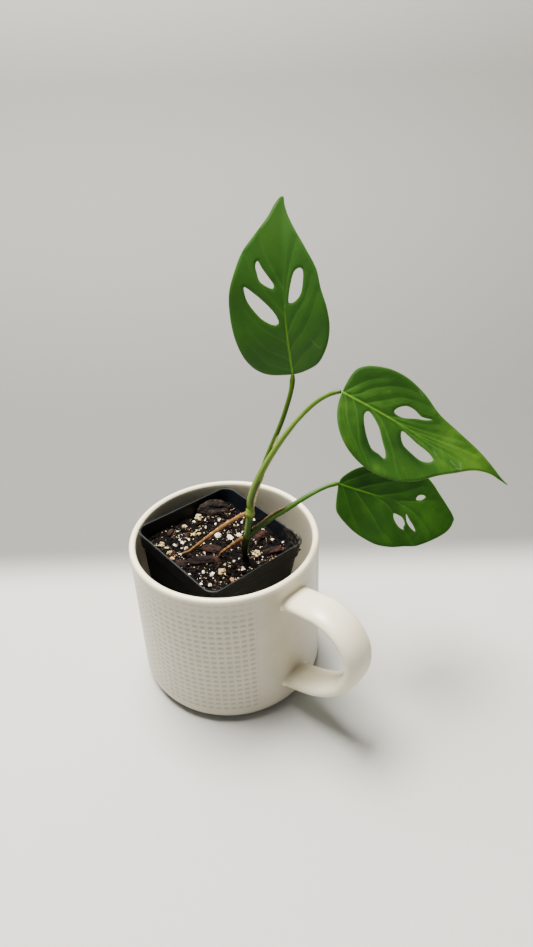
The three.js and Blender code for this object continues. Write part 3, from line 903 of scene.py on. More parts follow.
def chipMaterial(name, shades):
    # Composted pine bark: layered, torn, red-brown inside and almost black on its weathered skin, with
    # painted shade in its sunken grain.
    material, tree, shader, spot = newMaterial(name, Roughness=0.85, IOR=1.4, Specular_IOR_Level=0.25)
    colour = addRamp(tree, noiseOn(tree, spot, 260, 6, 0.7), list(zip((0.36, 0.52, 0.64, 0.78), shades)))
    # painted shade where the grain is sunk
    sunk = reckon(tree, "SUBTRACT", 1, painted(tree, "raised"))
    colour = overlay(tree, colour, sunk, "#040302", 0.85)
    finishSkin(tree, shader, colour, noiseOn(tree, spot, 1100, 4), 0.6, 0.0006)
    return material


def barkChip(number, material):
    name = f"bark_chip_{number}"
    bm = bmesh.new()
    bm.from_mesh(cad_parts[name].data)
    bmesh.ops.remove_doubles(bm, verts=bm.verts, dist=1e-6)
    bmesh.ops.transform(bm, matrix=toPart.inverted(), verts=bm.verts)
    piece = newPiece(f"bark_piece_{number}", bm, material, [name])
    remesh = piece.modifiers.new("even", "REMESH")
    remesh.mode = "VOXEL"
    remesh.voxel_size = barkForm["voxel"] / 1000
    mesh = bakeModifiers(piece)
    bm = bmesh.new()
    bm.from_mesh(mesh)
    for step in range(barkForm["smoothings"]):
        bmesh.ops.smooth_vert(bm, verts=bm.verts, factor=0.5, use_axis_x=True, use_axis_y=True,
                              use_axis_z=True)
    bm.normal_update()
    spots = np.array([corner.co for corner in bm.verts]) * 1000
    middle = spots.mean(axis=0)
    longWay = np.linalg.svd(spots - middle, full_matrices=False)[2][0]
    along = (spots - middle) @ longWay
    grain = (spots - middle) - np.outer(along, longWay) * barkForm["stretch"]
    ridges = fractal(grain, barkForm["ridgeSize"], 5, number * 7.3)
    pits = np.minimum(fractal(spots, barkForm["pitSize"], 3, number * 3.7), barkForm["pitTop"])
    lift = barkForm["ridge"] * ridges + barkForm["pit"] * pits
    raised = bm.verts.layers.float.new("raised")
    for corner, rise in zip(bm.verts, lift):
        corner.co = corner.co + corner.normal * (0.001 * float(np.clip(rise, *barkForm["limits"])))
        corner[raised] = float(smoothStep(*barkForm["darkEnds"], rise))
    bm.to_mesh(mesh)
    bm.free()
    smoothFaces(mesh)


bark = chipMaterial("pineBark", ("#080403", "#1D0D08", "#3C1C12", "#6E422C"))
oldBark = chipMaterial("weatheredBark", ("#080605", "#1A120E", "#35281E", "#6A5038"))
for number in range(1, 8):
    barkChip(number, oldBark if number == 1 else bark)
print("bark made")

# stem, leaf stalks and air roots
stemForm = {
    "route": [(9, -0.5, 66), (9.9, -5, 74.3), (10.3, -9, 81.1), (11.1, -12.2, 88.2), (12.2, -14.8, 95.8),
              (13.5, -14, 104), (14.5, -13, 111.5)],
    "section": [(0, 1.5), (0.2, 1.6), (0.6, 1.7), (0.65, 1.85), (0.67, 2.1), (0.69, 1.95), (0.71, 1.8),
                (0.86, 1.75), (0.9, 1.95), (0.925, 2.3), (0.95, 2.35), (0.965, 2.0), (0.98, 2.1), (1, 1.5)],
    # height in millimetres, colour
    "colours": [(72, "#0B1204"), (84, "#121D06"), (91, "#1A2A08"), (95, "#263010"), (98, "#213A07"),
                (104, "#294807"), (107, "#465A18"), (109, "#6A7C2A"), (112, "#587020")],
    # way that a stripe faces, its spread, lowest and highest, shade, strength; here a painted highlight on
    # the lit side and painted shade on the far side
    "stripes": [((-0.9, -0.5, 0), 0.12, (97, 108), "#8EA85A", 0.45),
                ((0.9, -0.4, 0), 0.3, (96, 107), "#122506", 0.7)],
}
stalkForms = {
    "petiole_right": {
        "route": [(14.5, -13, 111), (15.4, -13.2, 118.5), (20, -14, 131.4), (27.3, -15.2, 145.7),
                  (35.4, -17, 158.8), (43.2, -19, 168.6), (49.6, -21.2, 174), (53.2, -21.8, 175.2)],
        "section": [(0, 1.7), (0.04, 1.9), (0.18, 1.85), (0.27, 1.6), (0.36, 1.45), (0.5, 1.25), (0.6, 1.2),
                    (0.68, 0.98), (0.84, 0.93), (0.93, 0.85), (0.97, 1.05), (1, 0.85)],
        "colours": [(108, "#4A5618"), (113, "#566A1A"), (118, "#4E6416"), (130, "#526A1A"), (150, "#58721E"),
                    (168, "#4B6816"), (174, "#446212"), (175.5, "#34500F"), (178, "#304A0F")],
        # the pale stripe is the dried sheath edge, then a narrow dark line beside it, and a painted highlight
        # on the lit side
        "stripes": [((0.95, -0.35, 0), 0.14, (112.5, 131), "#BBAE80", 0.8),
                    ((0.4, -0.9, 0), 0.09, (112, 129), "#142A04", 0.9),
                    ((-0.75, -0.65, 0.2), 0.1, (113, 165), "#7C9C40", 0.35)],
    },
    "petiole_upper": {
        "route": [(15.4, -11.2, 113), (18.2, -11.5, 124), (21.4, -11.3, 134), (25.1, -10.2, 143.2),
                  (29.6, -8.6, 153.8), (32.4, -6.8, 161.5), (34.5, -5, 168.6), (35.2, -3.1, 174.1)],
        "section": [(0, 0.8), (0.3, 0.95), (0.4, 1.12), (0.9, 1.05), (0.97, 1.2), (1, 0.85)],
        "colours": [(112, "#2A3E08"), (140, "#324A0A"), (160, "#30460A"), (175, "#3C560E")],
        # the pale stripe is the dried sheath edge, the other a painted highlight on the lit side
        "stripes": [((0.9, -0.6, -0.2), 0.35, (142.5, 149.5), "#C9BC90", 0.9),
                    ((-0.7, -0.65, 0.3), 0.08, (120, 172), "#567E24", 0.3)],
    },
    "petiole_low": {
        "route": [(12.3, -15, 95.4), (16.2, -14.6, 99.4), (23.6, -13.2, 105), (31, -11.6, 108.8),
                  (42.8, -8.7, 115), (50.5, -6.5, 117.6), (56.2, -5, 118.35)],
        "section": [(0, 1.6), (0.12, 1.65), (0.4, 1.4), (0.7, 1.15), (0.9, 1), (0.97, 1.15), (1, 0.8)],
        "colours": [(93, "#2C3010"), (98, "#202C0A"), (102, "#1A3004"), (110, "#224204"), (117, "#2E540A"),
                    (119, "#385A12")],
        # the brown stripe is the dried sheath edge, the other a painted highlight on the lit top
        "stripes": [((-0.35, -0.1, 0.93), 0.1, (101, 110.5), "#4C3A1A", 0.65),
                    ((0.1, -0.85, 0.5), 0.1, (104, 118), "#5A8222", 0.3)],
    },
}
# dried edges of the sheaths that once wrapped the stalks
driedEdges = {
    "sheath_edge_right": {
        "route": [(16.1, -13.9, 112.5), (17.1, -14.2, 118.5), (19.1, -14.7, 125), (21.5, -15.1, 131)],
        "section": [(0, 0.25), (0.2, 0.62), (0.6, 0.55), (1, 0.15)],
    },
    "sheath_edge_upper": {
        "route": [(25.4, -11, 141.5), (26.9, -10.9, 145), (28.4, -10.3, 149)],
        "section": [(0, 0.15), (0.4, 0.5), (0.8, 0.4), (1, 0.12)],
    },
    "sheath_edge_low": {
        "route": [(18.4, -14.4, 103.2), (23, -13.6, 106.6), (27.5, -12.6, 109.1), (31.6, -11.7, 110.7)],
        "section": [(0, 0.2), (0.3, 0.5), (0.8, 0.45), (1, 0.12)],
    },
}
rootForms = {
    "aerial_root_long": {
        "route": [(14, -13.2, 109.4), (9.6, -13.1, 107.1), (4.6, -12.8, 103.6), (-0.6, -12.4, 99.6),
                  (-11.2, -10.4, 89), (-16.9, -8, 82.3), (-21.6, -5, 77.8), (-23.6, -3.6, 74.6)],
        "section": [(0, 1), (0.4, 0.9), (0.8, 0.75), (1, 0.55)],
    },
    "aerial_root_short": {
        "route": [(12.2, -15.2, 95.4), (9.5, -13.6, 93.6), (5.9, -11.4, 89.1), (2.2, -8.9, 84),
                  (-1.5, -6.4, 79), (-3, -5.2, 75)],
        "section": [(0, 1), (0.3, 0.9), (0.6, 0.8), (1, 0.6)],
    },
}


def markRod(bm, line, across, raised, stripes):
    # each corner keeps its way round the rod and its distance along it, so that streaks run lengthwise
    spots = np.array([corner.co for corner in bm.verts])
    near = np.argmin(((spots[:, None] - line[None]) ** 2).sum(axis=2), axis=1)
    outward = unit(spots - line[near])
    run = np.concatenate([[0], np.cumsum(np.linalg.norm(np.diff(line, axis=0), axis=1))])[near]
    fibre = bm.verts.layers.float_vector.new("fibre")
    ways = (outward * across[near]).sum(axis=1), (outward * raised[near]).sum(axis=1)
    for corner, first, second, distance in zip(bm.verts, *ways, run):
        corner[fibre] = Vector((first, second, distance / 30))
    # stripes: dried sheath edges, and painted highlight and shade on the lit and shaded sides
    for number, (way, spread, (low, high), shade, strength) in enumerate(stripes):
        facing = np.exp(-((1 - outward @ unit(way)) / spread) ** 2)
        facing *= smoothStep(low, low + 1.5, spots[:, 2]) * smoothStep(high, high - 1.5, spots[:, 2])
        layer = bm.verts.layers.float.new(f"stripe{number}")
        for corner, value in zip(bm.verts, facing):
            corner[layer] = float(value)


def rodPiece(name, form, steps, sides, material, shape=None):
    rings, line, across, raised = rodRings(form["route"], form["section"], steps, sides, shape)
    bm = tubeOf(roundEnds(rings, line))
    markRod(bm, line, across, raised, form.get("stripes", []))
    newPiece(name + "_skin", bm, material, [name])


def stalkMaterial(name, form):
    # Living stem skin: waxy and smooth, its green changing with height, with fine lengthwise streaks, pale
    # stripes where a dried sheath edge runs along it, a narrow dark line beside one, and stripes of painted
    # highlight and painted shade along its lit and shaded sides.
    material, tree, shader, spot = newMaterial(name, Roughness=0.42, IOR=1.4, Specular_IOR_Level=0.3)
    stops = form["colours"]
    low, high = stops[0][0], stops[-1][0]
    shift = remap(tree, noiseOn(tree, spot, 260, 4, 0.6), 0, 1, -0.0035, 0.0035)
    height = reckon(tree, "ADD", heightOf(tree, spot), shift)
    colour = addRamp(tree, remap(tree, height, low / 1000, high / 1000),
                     [((z - low) / (high - low), shade) for z, shade in stops])
    streak = noiseOn(tree, painted(tree, "fibre", "Vector"), 3.2, 4, 0.6)
    brightness = remap(tree, streak, 0.3, 0.7, 0.76, 1.2)
    varied = addNode(tree, "ShaderNodeHueSaturation", {"Color": colour, "Value": brightness})
    colour = varied.outputs["Color"]
    for number, (way, spread, heights, shade, strength) in enumerate(form["stripes"]):
        colour = overlay(tree, colour, painted(tree, f"stripe{number}"), shade, strength)
    finishSkin(tree, shader, colour, noiseOn(tree, spot, 1400, 2), 0.15, 0.0002)
    return material


def sheathMaterial(name, dark, light):
    # The dried skin of an old leaf sheath: papery and matt, torn into fine lengthwise lines.
    material, tree, shader, spot = newMaterial(name, Roughness=0.7, IOR=1.4)
    colour = addRamp(tree, noiseOn(tree, spot, 900, 3), [(0.35, dark), (0.62, light)])
    tree.links.new(colour, shader.inputs["Base Color"])
    return material


def rootMaterial():
    # Dried air root: corky tan bark with fine lengthwise ridges.
    material, tree, shader, spot = newMaterial("corkyRoot", Roughness=0.75, IOR=1.4)
    tone = noiseOn(tree, spot, 500, 5, 0.65)
    colour = addRamp(tree, tone, [(0.3, "#382410"), (0.5, "#68451C"), (0.7, "#966C38")])
    streak = noiseOn(tree, painted(tree, "fibre", "Vector"), 4, 3)
    colour = overlay(tree, colour, remap(tree, streak, 0.5, 0.72), "#B8925C", 0.35)
    finishSkin(tree, shader, colour, tone, 0.5, 0.0004)
    return material


def rootRidges(distance, angle, line):
    # fine ridges, and a slight uneven swelling every few millimetres
    wave = 0.07 * np.sin(angle * 7 + 0.5 * np.sin(distance * 0.7))
    return wave + 0.06 * np.sin(distance * 1.3 + 2 * np.sin(distance * 0.37)) * np.ones_like(angle)


rodPiece("stem", stemForm, 90, 24, stalkMaterial("stemSkin", stemForm))
for name, form in stalkForms.items():
    rodPiece(name, form, 110, 24, stalkMaterial(name + "Skin", form))
paper = sheathMaterial("driedSheath", "#8C7C50", "#CFC094")
brownPaper = sheathMaterial("brownSheath", "#34260F", "#644C28")
for name, form in driedEdges.items():
    rings, line, across, raised = rodRings(form["route"], form["section"], 30, 12)
    newPiece(name, tubeOf(roundEnds(rings, line)), brownPaper if "low" in name else paper, [])
cork = rootMaterial()
for name, form in rootForms.items():
    rodPiece(name, form, 150, 28, cork, rootRidges)
print("stem, stalks and roots made")

# Leaves. Each is drawn flat in millimetres along and across its midrib, cut, then laid on its rib.
leafForms = {
    "leaf_upper": {
        "rib": [(35.2, -3, 174.5), (33, -0.5, 192), (32, 3.5, 209), (32, 9, 226), (32.5, 16, 242.5)],
        "face": [(-0.16, -0.97, 0.12), (-0.1, -0.93, 0.36)],
        "left": [0.5, 9, 14.3, 18, 20.5, 22.2, 22.8, 22.2, 19.5, 16, 10.5, 6, 3.5, 1.5, 0.4],
        "right": [0.5, 5, 11, 14.5, 17, 18, 17.3, 15.2, 13.5, 9.5, 5.5, 2.5, 1, 0.6, 0.4],
        "holes": [
            [(47, -10), (45.5, -11), (42.5, -10.5), (39.5, -9.5), (37.5, -7), (36.5, -4.5), (38, -4),
             (41, -6), (44.5, -8.5)],
            [(37.5, -15.5), (36, -16), (32, -15), (28, -12.5), (24.5, -9.5), (22, -5.5), (22.5, -3),
             (26, -4), (30, -7), (34, -11)],
            [(44, 6.5), (42.5, 4.5), (38, 3), (33, 2), (30.5, 2), (31, 4.5), (34, 7), (39, 8), (43, 8)],
        ],
        "wave": 0.5,
        # side veins from the midrib to the margin, as distance along the midrib and across it
        "veins": [
            [(2, -0.2), (3.6, -5), (6.1, -9.7), (11.6, -13.9), (17.1, -16.9)],
            [(6, -0.2), (8.2, -2.9), (11.9, -8.8), (17.5, -13.4), (25, -17)],
            [(12.5, -0.2), (15.3, -2.2), (18.4, -7), (22.5, -11.5), (30, -17.5)],
            [(25, -0.2), (30, -3.3), (36.5, -8), (43.9, -12.7), (50, -15)],
            [(36, -0.2), (44, -4.4), (52, -8), (58, -9)],
            [(2.5, 0.2), (4.6, 2.5), (7.3, 5), (11.9, 10), (16, 13.5)],
            [(9, 0.2), (12.8, 2), (15.9, 4.9), (19.6, 7.8), (27, 11.5), (34, 14)],
            [(17, 0.2), (23.2, 3.1), (28, 6.3), (33, 9.2), (41, 11.5)],
            [(29, 0.2), (38, 1.4), (47, 3.4), (55, 5.5)],
        ],
        "band": 0.6,  # contrast of the painted light and shade beside each vein
        "ribFade": (16, 30, 0.15, 50),  # bright until, dim from, what is left, gone at
        # painted highlight, sheen and shade: distance, across, size, how much lighter or darker
        "paintedLightPatches": [(61, -1, 9, 0.3), (55, -8, 5, 0.2), (38, 12, 5, -0.5), (47, 8, 5, -0.35), (5, 4, 4, 0.5),
                    (41, -2.5, 3.5, -0.6), (24, 8, 6, -0.15), (12, -12, 7, -0.2), (33, -19, 4, 0.3),
                    (30, -9.5, 3, 0.25), (14, 4, 4, 0.25)],
        "holeShade": (-1, 0.2, 0.3),  # way from a hole's middle that painted shade lies by its rim, and how much
        "veinShow": 0.3,
        "swell": 0.16,  # rise between the veins
        "ribShade": "#62901A",
        "marks": [[(14.2, 10.2), (12.6, 11), (11, 12.4), (10.6, 13.6)]],
        "colours": ("#1E430E", "#2A5214", "#335910"),
    },
    "leaf_right": {
        "rib": [(54, -22, 175.2), (71.5, -24, 165), (89, -27, 154.5), (107, -30.5, 146.5), (124, -34, 135)],
        "face": [(-0.05, -0.65, 0.76), (0.05, -0.75, 0.66)],
        "left": [0.5, 9.6, 13.8, 16.4, 18.2, 18.5, 16.5, 12.5, 9.5, 6.5, 4.3, 2.4, 0.9, 0.3, 0.16],
        "right": [0.5, 8, 14.5, 19.5, 22.5, 24, 23.5, 20, 13, 8, 3, 0.6, 0.3, 0.2, 0.16],
        "holes": [
            [(24, -3), (24, -5), (27, -8), (31, -8.5), (35, -7.5), (39.5, -8.5), (37, -7), (33, -5.5),
             (28, -3)],
            [(14.5, 2), (12.5, 3.5), (13.5, 7), (17, 12), (21, 15.5), (25, 16), (28, 16.5), (27.5, 14),
             (24, 10), (20, 5.5)],
            [(30.5, 2), (30.5, 4), (33, 7), (37.5, 8.5), (42, 9.5), (45.5, 8.5), (46.5, 6.5), (43, 4.5),
             (38, 3.5), (34, 2.5)],
        ],
        "wave": 0.7,
        "veins": [
            [(0.8, -0.2), (3.3, -3.5), (6.4, -7.2), (9.6, -10.4), (15, -14)],
            [(3.5, -0.2), (7.6, -3), (11.3, -7.1), (17.6, -11.4), (24, -14.2), (31, -15.4)],
            [(11, -0.2), (15, -3), (19.3, -6.3), (23.6, -9.6), (29, -11.6), (36, -12.6)],
            [(22, -0.2), (28, -2.3), (36, -4.6), (43, -7.5)],
            [(27, -0.2), (34, -1.7), (43, -3.6), (55, -5.2)],
            [(33, -0.2), (42, -1.6), (54, -2.2), (63, -2.7)],
            [(0.8, 0.2), (2.6, 2.4), (6.4, 10), (11.1, 15.3), (17, 20)],
            [(5, 0.2), (8.2, 4), (12.3, 11.4), (15.6, 16.6), (21, 21)],
            [(14, 0.2), (20.5, 3), (26.2, 8), (30, 12), (33.4, 17), (37, 21)],
            [(27.5, 0.2), (34, 1.3), (41, 2.6), (48, 5), (55, 7)],
            [(36, 0.2), (46, 1.4), (57, 2.6)],
        ],
        "band": 0.75,
        "ribFade": (18, 36, 0.3, 62),
        "paintedLightPatches": [(9, -11, 6, -0.35), (20, -15, 6, -0.3), (17.5, 14.5, 4, -0.5), (22, 18, 4, -0.4),
                    (29, 9, 4, -0.45), (35, 11, 4, -0.4), (42, 11.5, 4, -0.3), (27, 21, 5, 0.14),
                    (4.5, 5, 3, 0.3), (9, 9, 3, 0.2), (64, 0, 10, 0.8), (50, -5, 7, 0.45),
                    (40, -2.5, 4, 0.25), (50, 6, 5, 0.2), (18, -9.5, 2.6, 0.2), (28, -11, 3, -0.3),
                    (12, -5, 3, 0.2), (30, -1.8, 3, 0.15), (34, -12, 5, -0.25)],
        "holeShade": (-0.5, 0.87, 1.15),
        "veinShow": 0.3,
        "swell": 0.14,
        "ribShade": "#5D871E",
        "marks": [[(45.5, 3.2), (47.5, 4.4)], [(54, 4.6), (57, 5.6)], [(58.5, 3.6), (60.2, 6.4)],
                  [(57.5, 6.4), (60, 6)], [(29, -16.4), (31, -15.6)]],
        "colours": ("#132F06", "#21430C", "#44691A"),
    },
    "leaf_low": {
        "rib": [(56.5, -5, 118.2), (70.5, -4, 111.5), (85, -4, 106), (100, -4.5, 101), (114, -6, 94.5)],
        "face": [(0, -0.68, 0.73), (0.1, -0.72, 0.68)],
        "left": [0.5, 3, 6, 9.5, 12.5, 15, 17, 17.5, 17.5, 14.5, 9.5, 6, 3.5, 1.5, 0.4],
        "right": [0.5, 11.5, 15, 17.5, 20, 22, 23.5, 23, 21, 19.5, 16.5, 12.5, 8.5, 4.5, 0.4],
        "holes": [
            [(41, -3), (41.5, -5), (43.5, -6), (45, -5.5), (43.5, -3.5)],
            [(31, 6.5), (31.5, 9), (34, 12), (36.5, 13), (36.5, 11.5), (37, 10), (35.5, 7.5), (33, 6.5)],
            [(37, 5.5), (38, 9), (40.5, 11.5), (43, 12.5), (42, 10.5), (39.5, 8), (37.5, 5.5)],
        ],
        "wave": 0.5,
        "veins": [
            [(1.5, -0.2), (4, -2.5), (7.7, -5), (13.9, -8.9), (21, -12)],
            [(10, -0.2), (14, -2.6), (18.8, -4.8), (26.3, -8.2), (34, -12)],
            [(22, -0.2), (28, -2.4), (35, -5.3), (43, -10)],
            [(33, -0.2), (41, -2), (49, -5)],
            [(1.5, 0.2), (4.5, 4.4), (8.4, 10.8), (14, 18)],
            [(8, 0.2), (13.8, 4.6), (20.2, 10.4), (24.5, 15.4), (31, 20)],
            [(19, 0.2), (27, 3.4), (33.2, 9.4), (38, 14.6), (43, 19)],
            [(31, 0.2), (40, 3.4), (47.5, 8.6), (52, 12)],
        ],
        "band": 0.9,
        "ribFade": (14, 26, 0.12, 50),
        # the darker patches on its upper, left half are painted shade from leaf_right above it
        "paintedLightPatches": [(12, -5, 8, -0.6), (25, -9, 9, -0.7), (38, -11, 7, -0.55), (17, 7, 5, 0.1),
                    (22, 16, 4, -0.3), (15, 12, 4, -0.2), (30, 19, 5, 0.35), (38, 2.4, 5, 0.2),
                    (47, 5, 9, 0.24), (52, 2, 9, 0.24), (29, 6, 4, -0.2), (42, 13, 5, 0.25), (6, 8, 5, 0.1)],
        "holeShade": (0.8, 0.4, 0.35),
        "veinShow": 0.16,
        "swell": 0.08,
        "ribShade": "#3F6812",
        "marks": [],
        # darker than the other leaves: its own deeper green, and partly painted shade from leaf_right above
        # it
        "colours": ("#092101", "#133202", "#274C08"),
    },
}
leafSkin = {
    "thickness": 0.5,
    "edgeThickness": 0.3,
    "edgeReach": 1.2,  # the blade thins towards its edge over this width
    "narrowest": 0.16,  # half width of the drawn-out tip, and of the line that its edge is measured from
    "narrowestEdge": 0.4,
    "fold": 0.1,  # the halves rise from the midrib in a valley this steep and wide
    "valley": 3,
    "rows": 170,
    "columns": 96,
    "rib": [(0, 0.95), (1, 0.35)],
    "ribBelow": 0.5,  # how far the midrib stands out below
    "ribLine": (0.38, 0.2),  # half width of the bright midrib at its base, and how much it narrows
    "ribSideShade": (0.9, 0.5, 0.3),  # place, spread and strength of the painted shade beside the midrib
    "groove": 0.1,
    "veinWidth": 0.33,
    "veinFade": 0.75,  # share of a vein that is lost at the margin
    "bandStart": 0.12,  # the painted shade and light beside a vein: its start along the vein, its loss, strength and width
    "bandFade": 0.6,
    "bandShade": 0.27273,
    "bandWidth": 1.7,
    "swellReach": 1.9,
    "shadeSpread": 4,  # how far a hole's painted shade spreads from its middle, and how wide it is past the rim
    "shadeWidth": 2.2,
    "paintedPatchSpread": 0.55,
    "rimWidth": 0.6,
    "markWidth": 0.22,
    "streaks": (0.85, 130, 16),  # slant of the fine streaks, how close they lie and how soon they end
}


def ribFrame(form):
    line = np.asarray(form["rib"], float)
    fine = curveAt(line, np.linspace(0, 1, 801))
    length = float(np.linalg.norm(np.diff(fine, axis=0), axis=1).sum())
    faceBase, faceTip = unit(form["face"])
    widest = max(form["left"] + form["right"])

    def lay(distance, across, height):
        share = np.clip(distance / length, 0, 1)
        after, before = (curveAt(line, np.clip(share + step, 0, 1)) for step in (0.0001, -0.0001))
        forward = unit(after - before)
        up = unit(faceBase) * (1 - share[:, None]) + unit(faceTip) * share[:, None]
        up = unit(up - forward * (up * forward).sum(axis=1)[:, None])
        side = np.cross(forward, up)
        valley = leafSkin["fold"] * (np.hypot(across, leafSkin["valley"]) - leafSkin["valley"])
        ripple = form["wave"] * np.sin(share * np.pi * 5 + np.sign(across)) * (across / widest) ** 2
        return curveAt(line, share) + side * across[:, None] + up * (valley + ripple + height)[:, None]
    return length, lay


def beside(spots, line):
    # distance from each spot to a line of points in the plane, the side of it, and how far along it
    best = np.full(len(spots), 1e9)
    side = np.ones(len(spots))
    along = np.zeros(len(spots))
    for step, (start, end) in enumerate(zip(line, line[1:])):
        way = end - start
        offset = spots - start
        share = np.clip((offset @ way) / max(way @ way, 1e-9), 0, 1)
        gap = np.hypot(*(offset - share[:, None] * way).T)
        near = gap < best
        best = np.where(near, gap, best)
        side = np.where(near, np.sign(way[0] * offset[:, 1] - way[1] * offset[:, 0]), side)
        along = np.where(near, (step + share) / (len(line) - 1), along)
    return best, side, along


def nearest(spots, line):
    return beside(spots, line)[0]


def cutSheet(name, form, length):
    # the blade as a flat sheet with two skins, its holes cut out
    rows, columns = leafSkin["rows"], leafSkin["columns"]
    bm, row, column = gridOf(rows, columns)
    share = row / rows
    crowded = (1 - np.cos(np.pi * share)) / 2
    distance = length * (0.75 * share + 0.25 * crowded)
    station = np.arccos(np.clip(1 - 2 * distance / length, -1, 1)) / np.pi
    side = 2 * column / columns - 1
    half = np.where(side < 0, through(form["left"], station), through(form["right"], station))
    across = side * np.maximum(half, leafSkin["narrowest"])
    moveCorners(bm, np.stack([distance, across, np.zeros(len(side))], axis=1))
    bmesh.ops.recalc_face_normals(bm, faces=bm.faces)
    bmesh.ops.solidify(bm, geom=bm.faces[:], thickness=1)
    bmesh.ops.recalc_face_normals(bm, faces=bm.faces)
    piece = addObject(name + "_blade", meshOf(name, bm))
    punches = bmesh.new()
    for hole in form["holes"]:
        face = punches.faces.new([punches.verts.new((x, y, -3)) for x, y in closedLine(hole, 5)])
        grown = bmesh.ops.extrude_face_region(punches, geom=[face])
        bmesh.ops.translate(punches, vec=(0, 0, 6), verts=cornersOf(grown["geom"]))
    bmesh.ops.recalc_face_normals(punches, faces=punches.faces)
    cutAway(piece, punches)
    return piece


def rimReach(plane, form, length):
    # distance from each corner to the margin or a hole, and the painted shade that the holes lay beside their
    # rims
    stations = np.linspace(0, 1, 160)
    edge = length * (1 - np.cos(np.pi * stations)) / 2
    reach = np.full(len(plane), 1e9)
    for side, way in (("left", -1), ("right", 1)):
        across = way * np.maximum(through(form[side], stations), leafSkin["narrowestEdge"])
        reach = np.minimum(reach, nearest(plane, np.stack([edge, across], axis=1)))
    shade = np.zeros(len(plane))
    *way, strength = form["holeShade"]
    for hole in form["holes"]:
        rim = closedLine(hole, 4)
        gap = nearest(plane, np.vstack([rim, rim[:1]]))
        reach = np.minimum(reach, gap)
        middle = rim.mean(axis=0)
        if middle[1] > 0:
            facing = np.clip((plane - middle) @ unit(way) / leafSkin["shadeSpread"], 0, 1)
            shade = np.maximum(shade, strength * facing * np.exp(-(gap / leafSkin["shadeWidth"]) ** 2))
    return reach, shade


def veinLook(plane, form):
    # how strongly each corner lies in a vein, how far it is from the nearest, and the painted light and shade
    # beside them
    f = leafSkin
    line, tone = np.zeros((2, len(plane)))
    closest = np.abs(plane[:, 1])
    for vein in form["veins"]:
        outward = np.sign(vein[-1][1])
        gap, side, along = beside(plane, curveAt(vein, np.linspace(0, 1, 25)))
        line = np.maximum(line, (1 - f["veinFade"] * along) * np.exp(-(gap / f["veinWidth"]) ** 2))
        closest = np.minimum(closest, gap)
        toTip = gap * side * -outward
        ends = smoothStep(0, f["bandStart"], along) * (1 - f["bandFade"] * along)
        shade = form["band"] * outward * f["bandShade"]
        tone -= shade * ends * toTip * np.exp(-(toTip / f["bandWidth"]) ** 2)
    return line, closest, tone


def leafTones(plane, share, tone, form):
    # the painted light and shade of each corner, the bright midrib and the small scars
    f = leafSkin
    distance, across = plane.T
    for x, y, size, strength in form["paintedLightPatches"]:
        spread = 2 * (f["paintedPatchSpread"] * size) ** 2
        tone = tone + strength * np.exp(-((distance - x) ** 2 + (across - y) ** 2) / spread)
    bright, dim, left, gone = form["ribFade"]
    ribFade = (1 - (1 - left) * smoothStep(bright, dim, distance)) * (1 - smoothStep(dim, gone, distance))
    place, spread, strength = f["ribSideShade"]
    tone = tone - strength * np.exp(-((np.abs(across) - place) / spread) ** 2) * ribFade
    width, narrowing = f["ribLine"]
    rib = np.exp(-(across / (width - narrowing * share)) ** 4) * ribFade
    mark = np.zeros(len(plane))
    for path in form["marks"]:
        gap = nearest(plane, curveAt(path, np.linspace(0, 1, 9)))
        mark = np.maximum(mark, np.exp(-(gap / f["markWidth"]) ** 2))
    return {"rib": rib, "mark": mark, "tone": np.clip(0.5 + 0.5 * tone, 0, 1)}


def mapSheet(mesh, plane):
    # keeps the flat drawing as a map, for streaks that follow the side veins
    corner = np.zeros(len(mesh.loops), int)
    mesh.loops.foreach_get("vertex_index", corner)
    for layer in list(mesh.uv_layers):
        mesh.uv_layers.remove(layer)
    sheet = mesh.uv_layers.new(name="leafSheet")
    sheet.data.foreach_set("uv", (plane[corner] / 100 + [0, 0.5]).ravel())


def leafBlade(name, form, material):
    f = leafSkin
    length, lay = ribFrame(form)
    piece = cutSheet(name, form, length)
    mesh = piece.data
    flat = np.zeros(len(mesh.vertices) * 3)
    mesh.vertices.foreach_get("co", flat)
    flat = flat.reshape(-1, 3)
    upper = flat[:, 2] > (flat[:, 2].min() + flat[:, 2].max()) / 2
    plane = flat[:, :2]
    distance, across = plane.T
    share = np.clip(distance / length, 0, 1)
    reach, holeShade = rimReach(plane, form, length)
    line, closest, tone = veinLook(plane, form)

    # side veins lie in shallow grooves, the skin swells between them, and the midrib stands out below
    edge = smoothStep(0, f["edgeReach"], reach)
    half = (f["edgeThickness"] + (f["thickness"] - f["edgeThickness"]) * edge) / 2
    ribHalf = between(f["rib"], share)
    ribShape = np.sqrt(np.maximum(1 - (across / np.maximum(ribHalf, 0.1)) ** 2, 0))
    below = -half - ribShape * (ribHalf + f["ribBelow"] - half) * smoothStep(0, 0.5, reach)
    swell = form["swell"] * (1 - np.exp(-(closest / f["swellReach"]) ** 2)) * edge
    height = np.where(upper, half, below) + swell - f["groove"] * line
    mesh.vertices.foreach_set("co", lay(distance, across, height).ravel())

    # tone is painted light and shade: beside the veins, by the holes, beside the midrib and in patches
    looks = {"rim": 1 - smoothStep(0, f["rimWidth"], reach), "under": ~upper, "vein": line,
             **leafTones(plane, share, tone - holeShade, form)}
    for label, values in looks.items():
        attribute = mesh.attributes.new(label, "FLOAT", "POINT")
        attribute.data.foreach_set("value", values.astype(np.float32))
    mapSheet(mesh, plane)
    mesh.transform(toPart)
    mesh.materials.clear()
    mesh.materials.append(material)
    smoothFaces(mesh)
    mesh.update()
    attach(piece, "root")
    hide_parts(name)


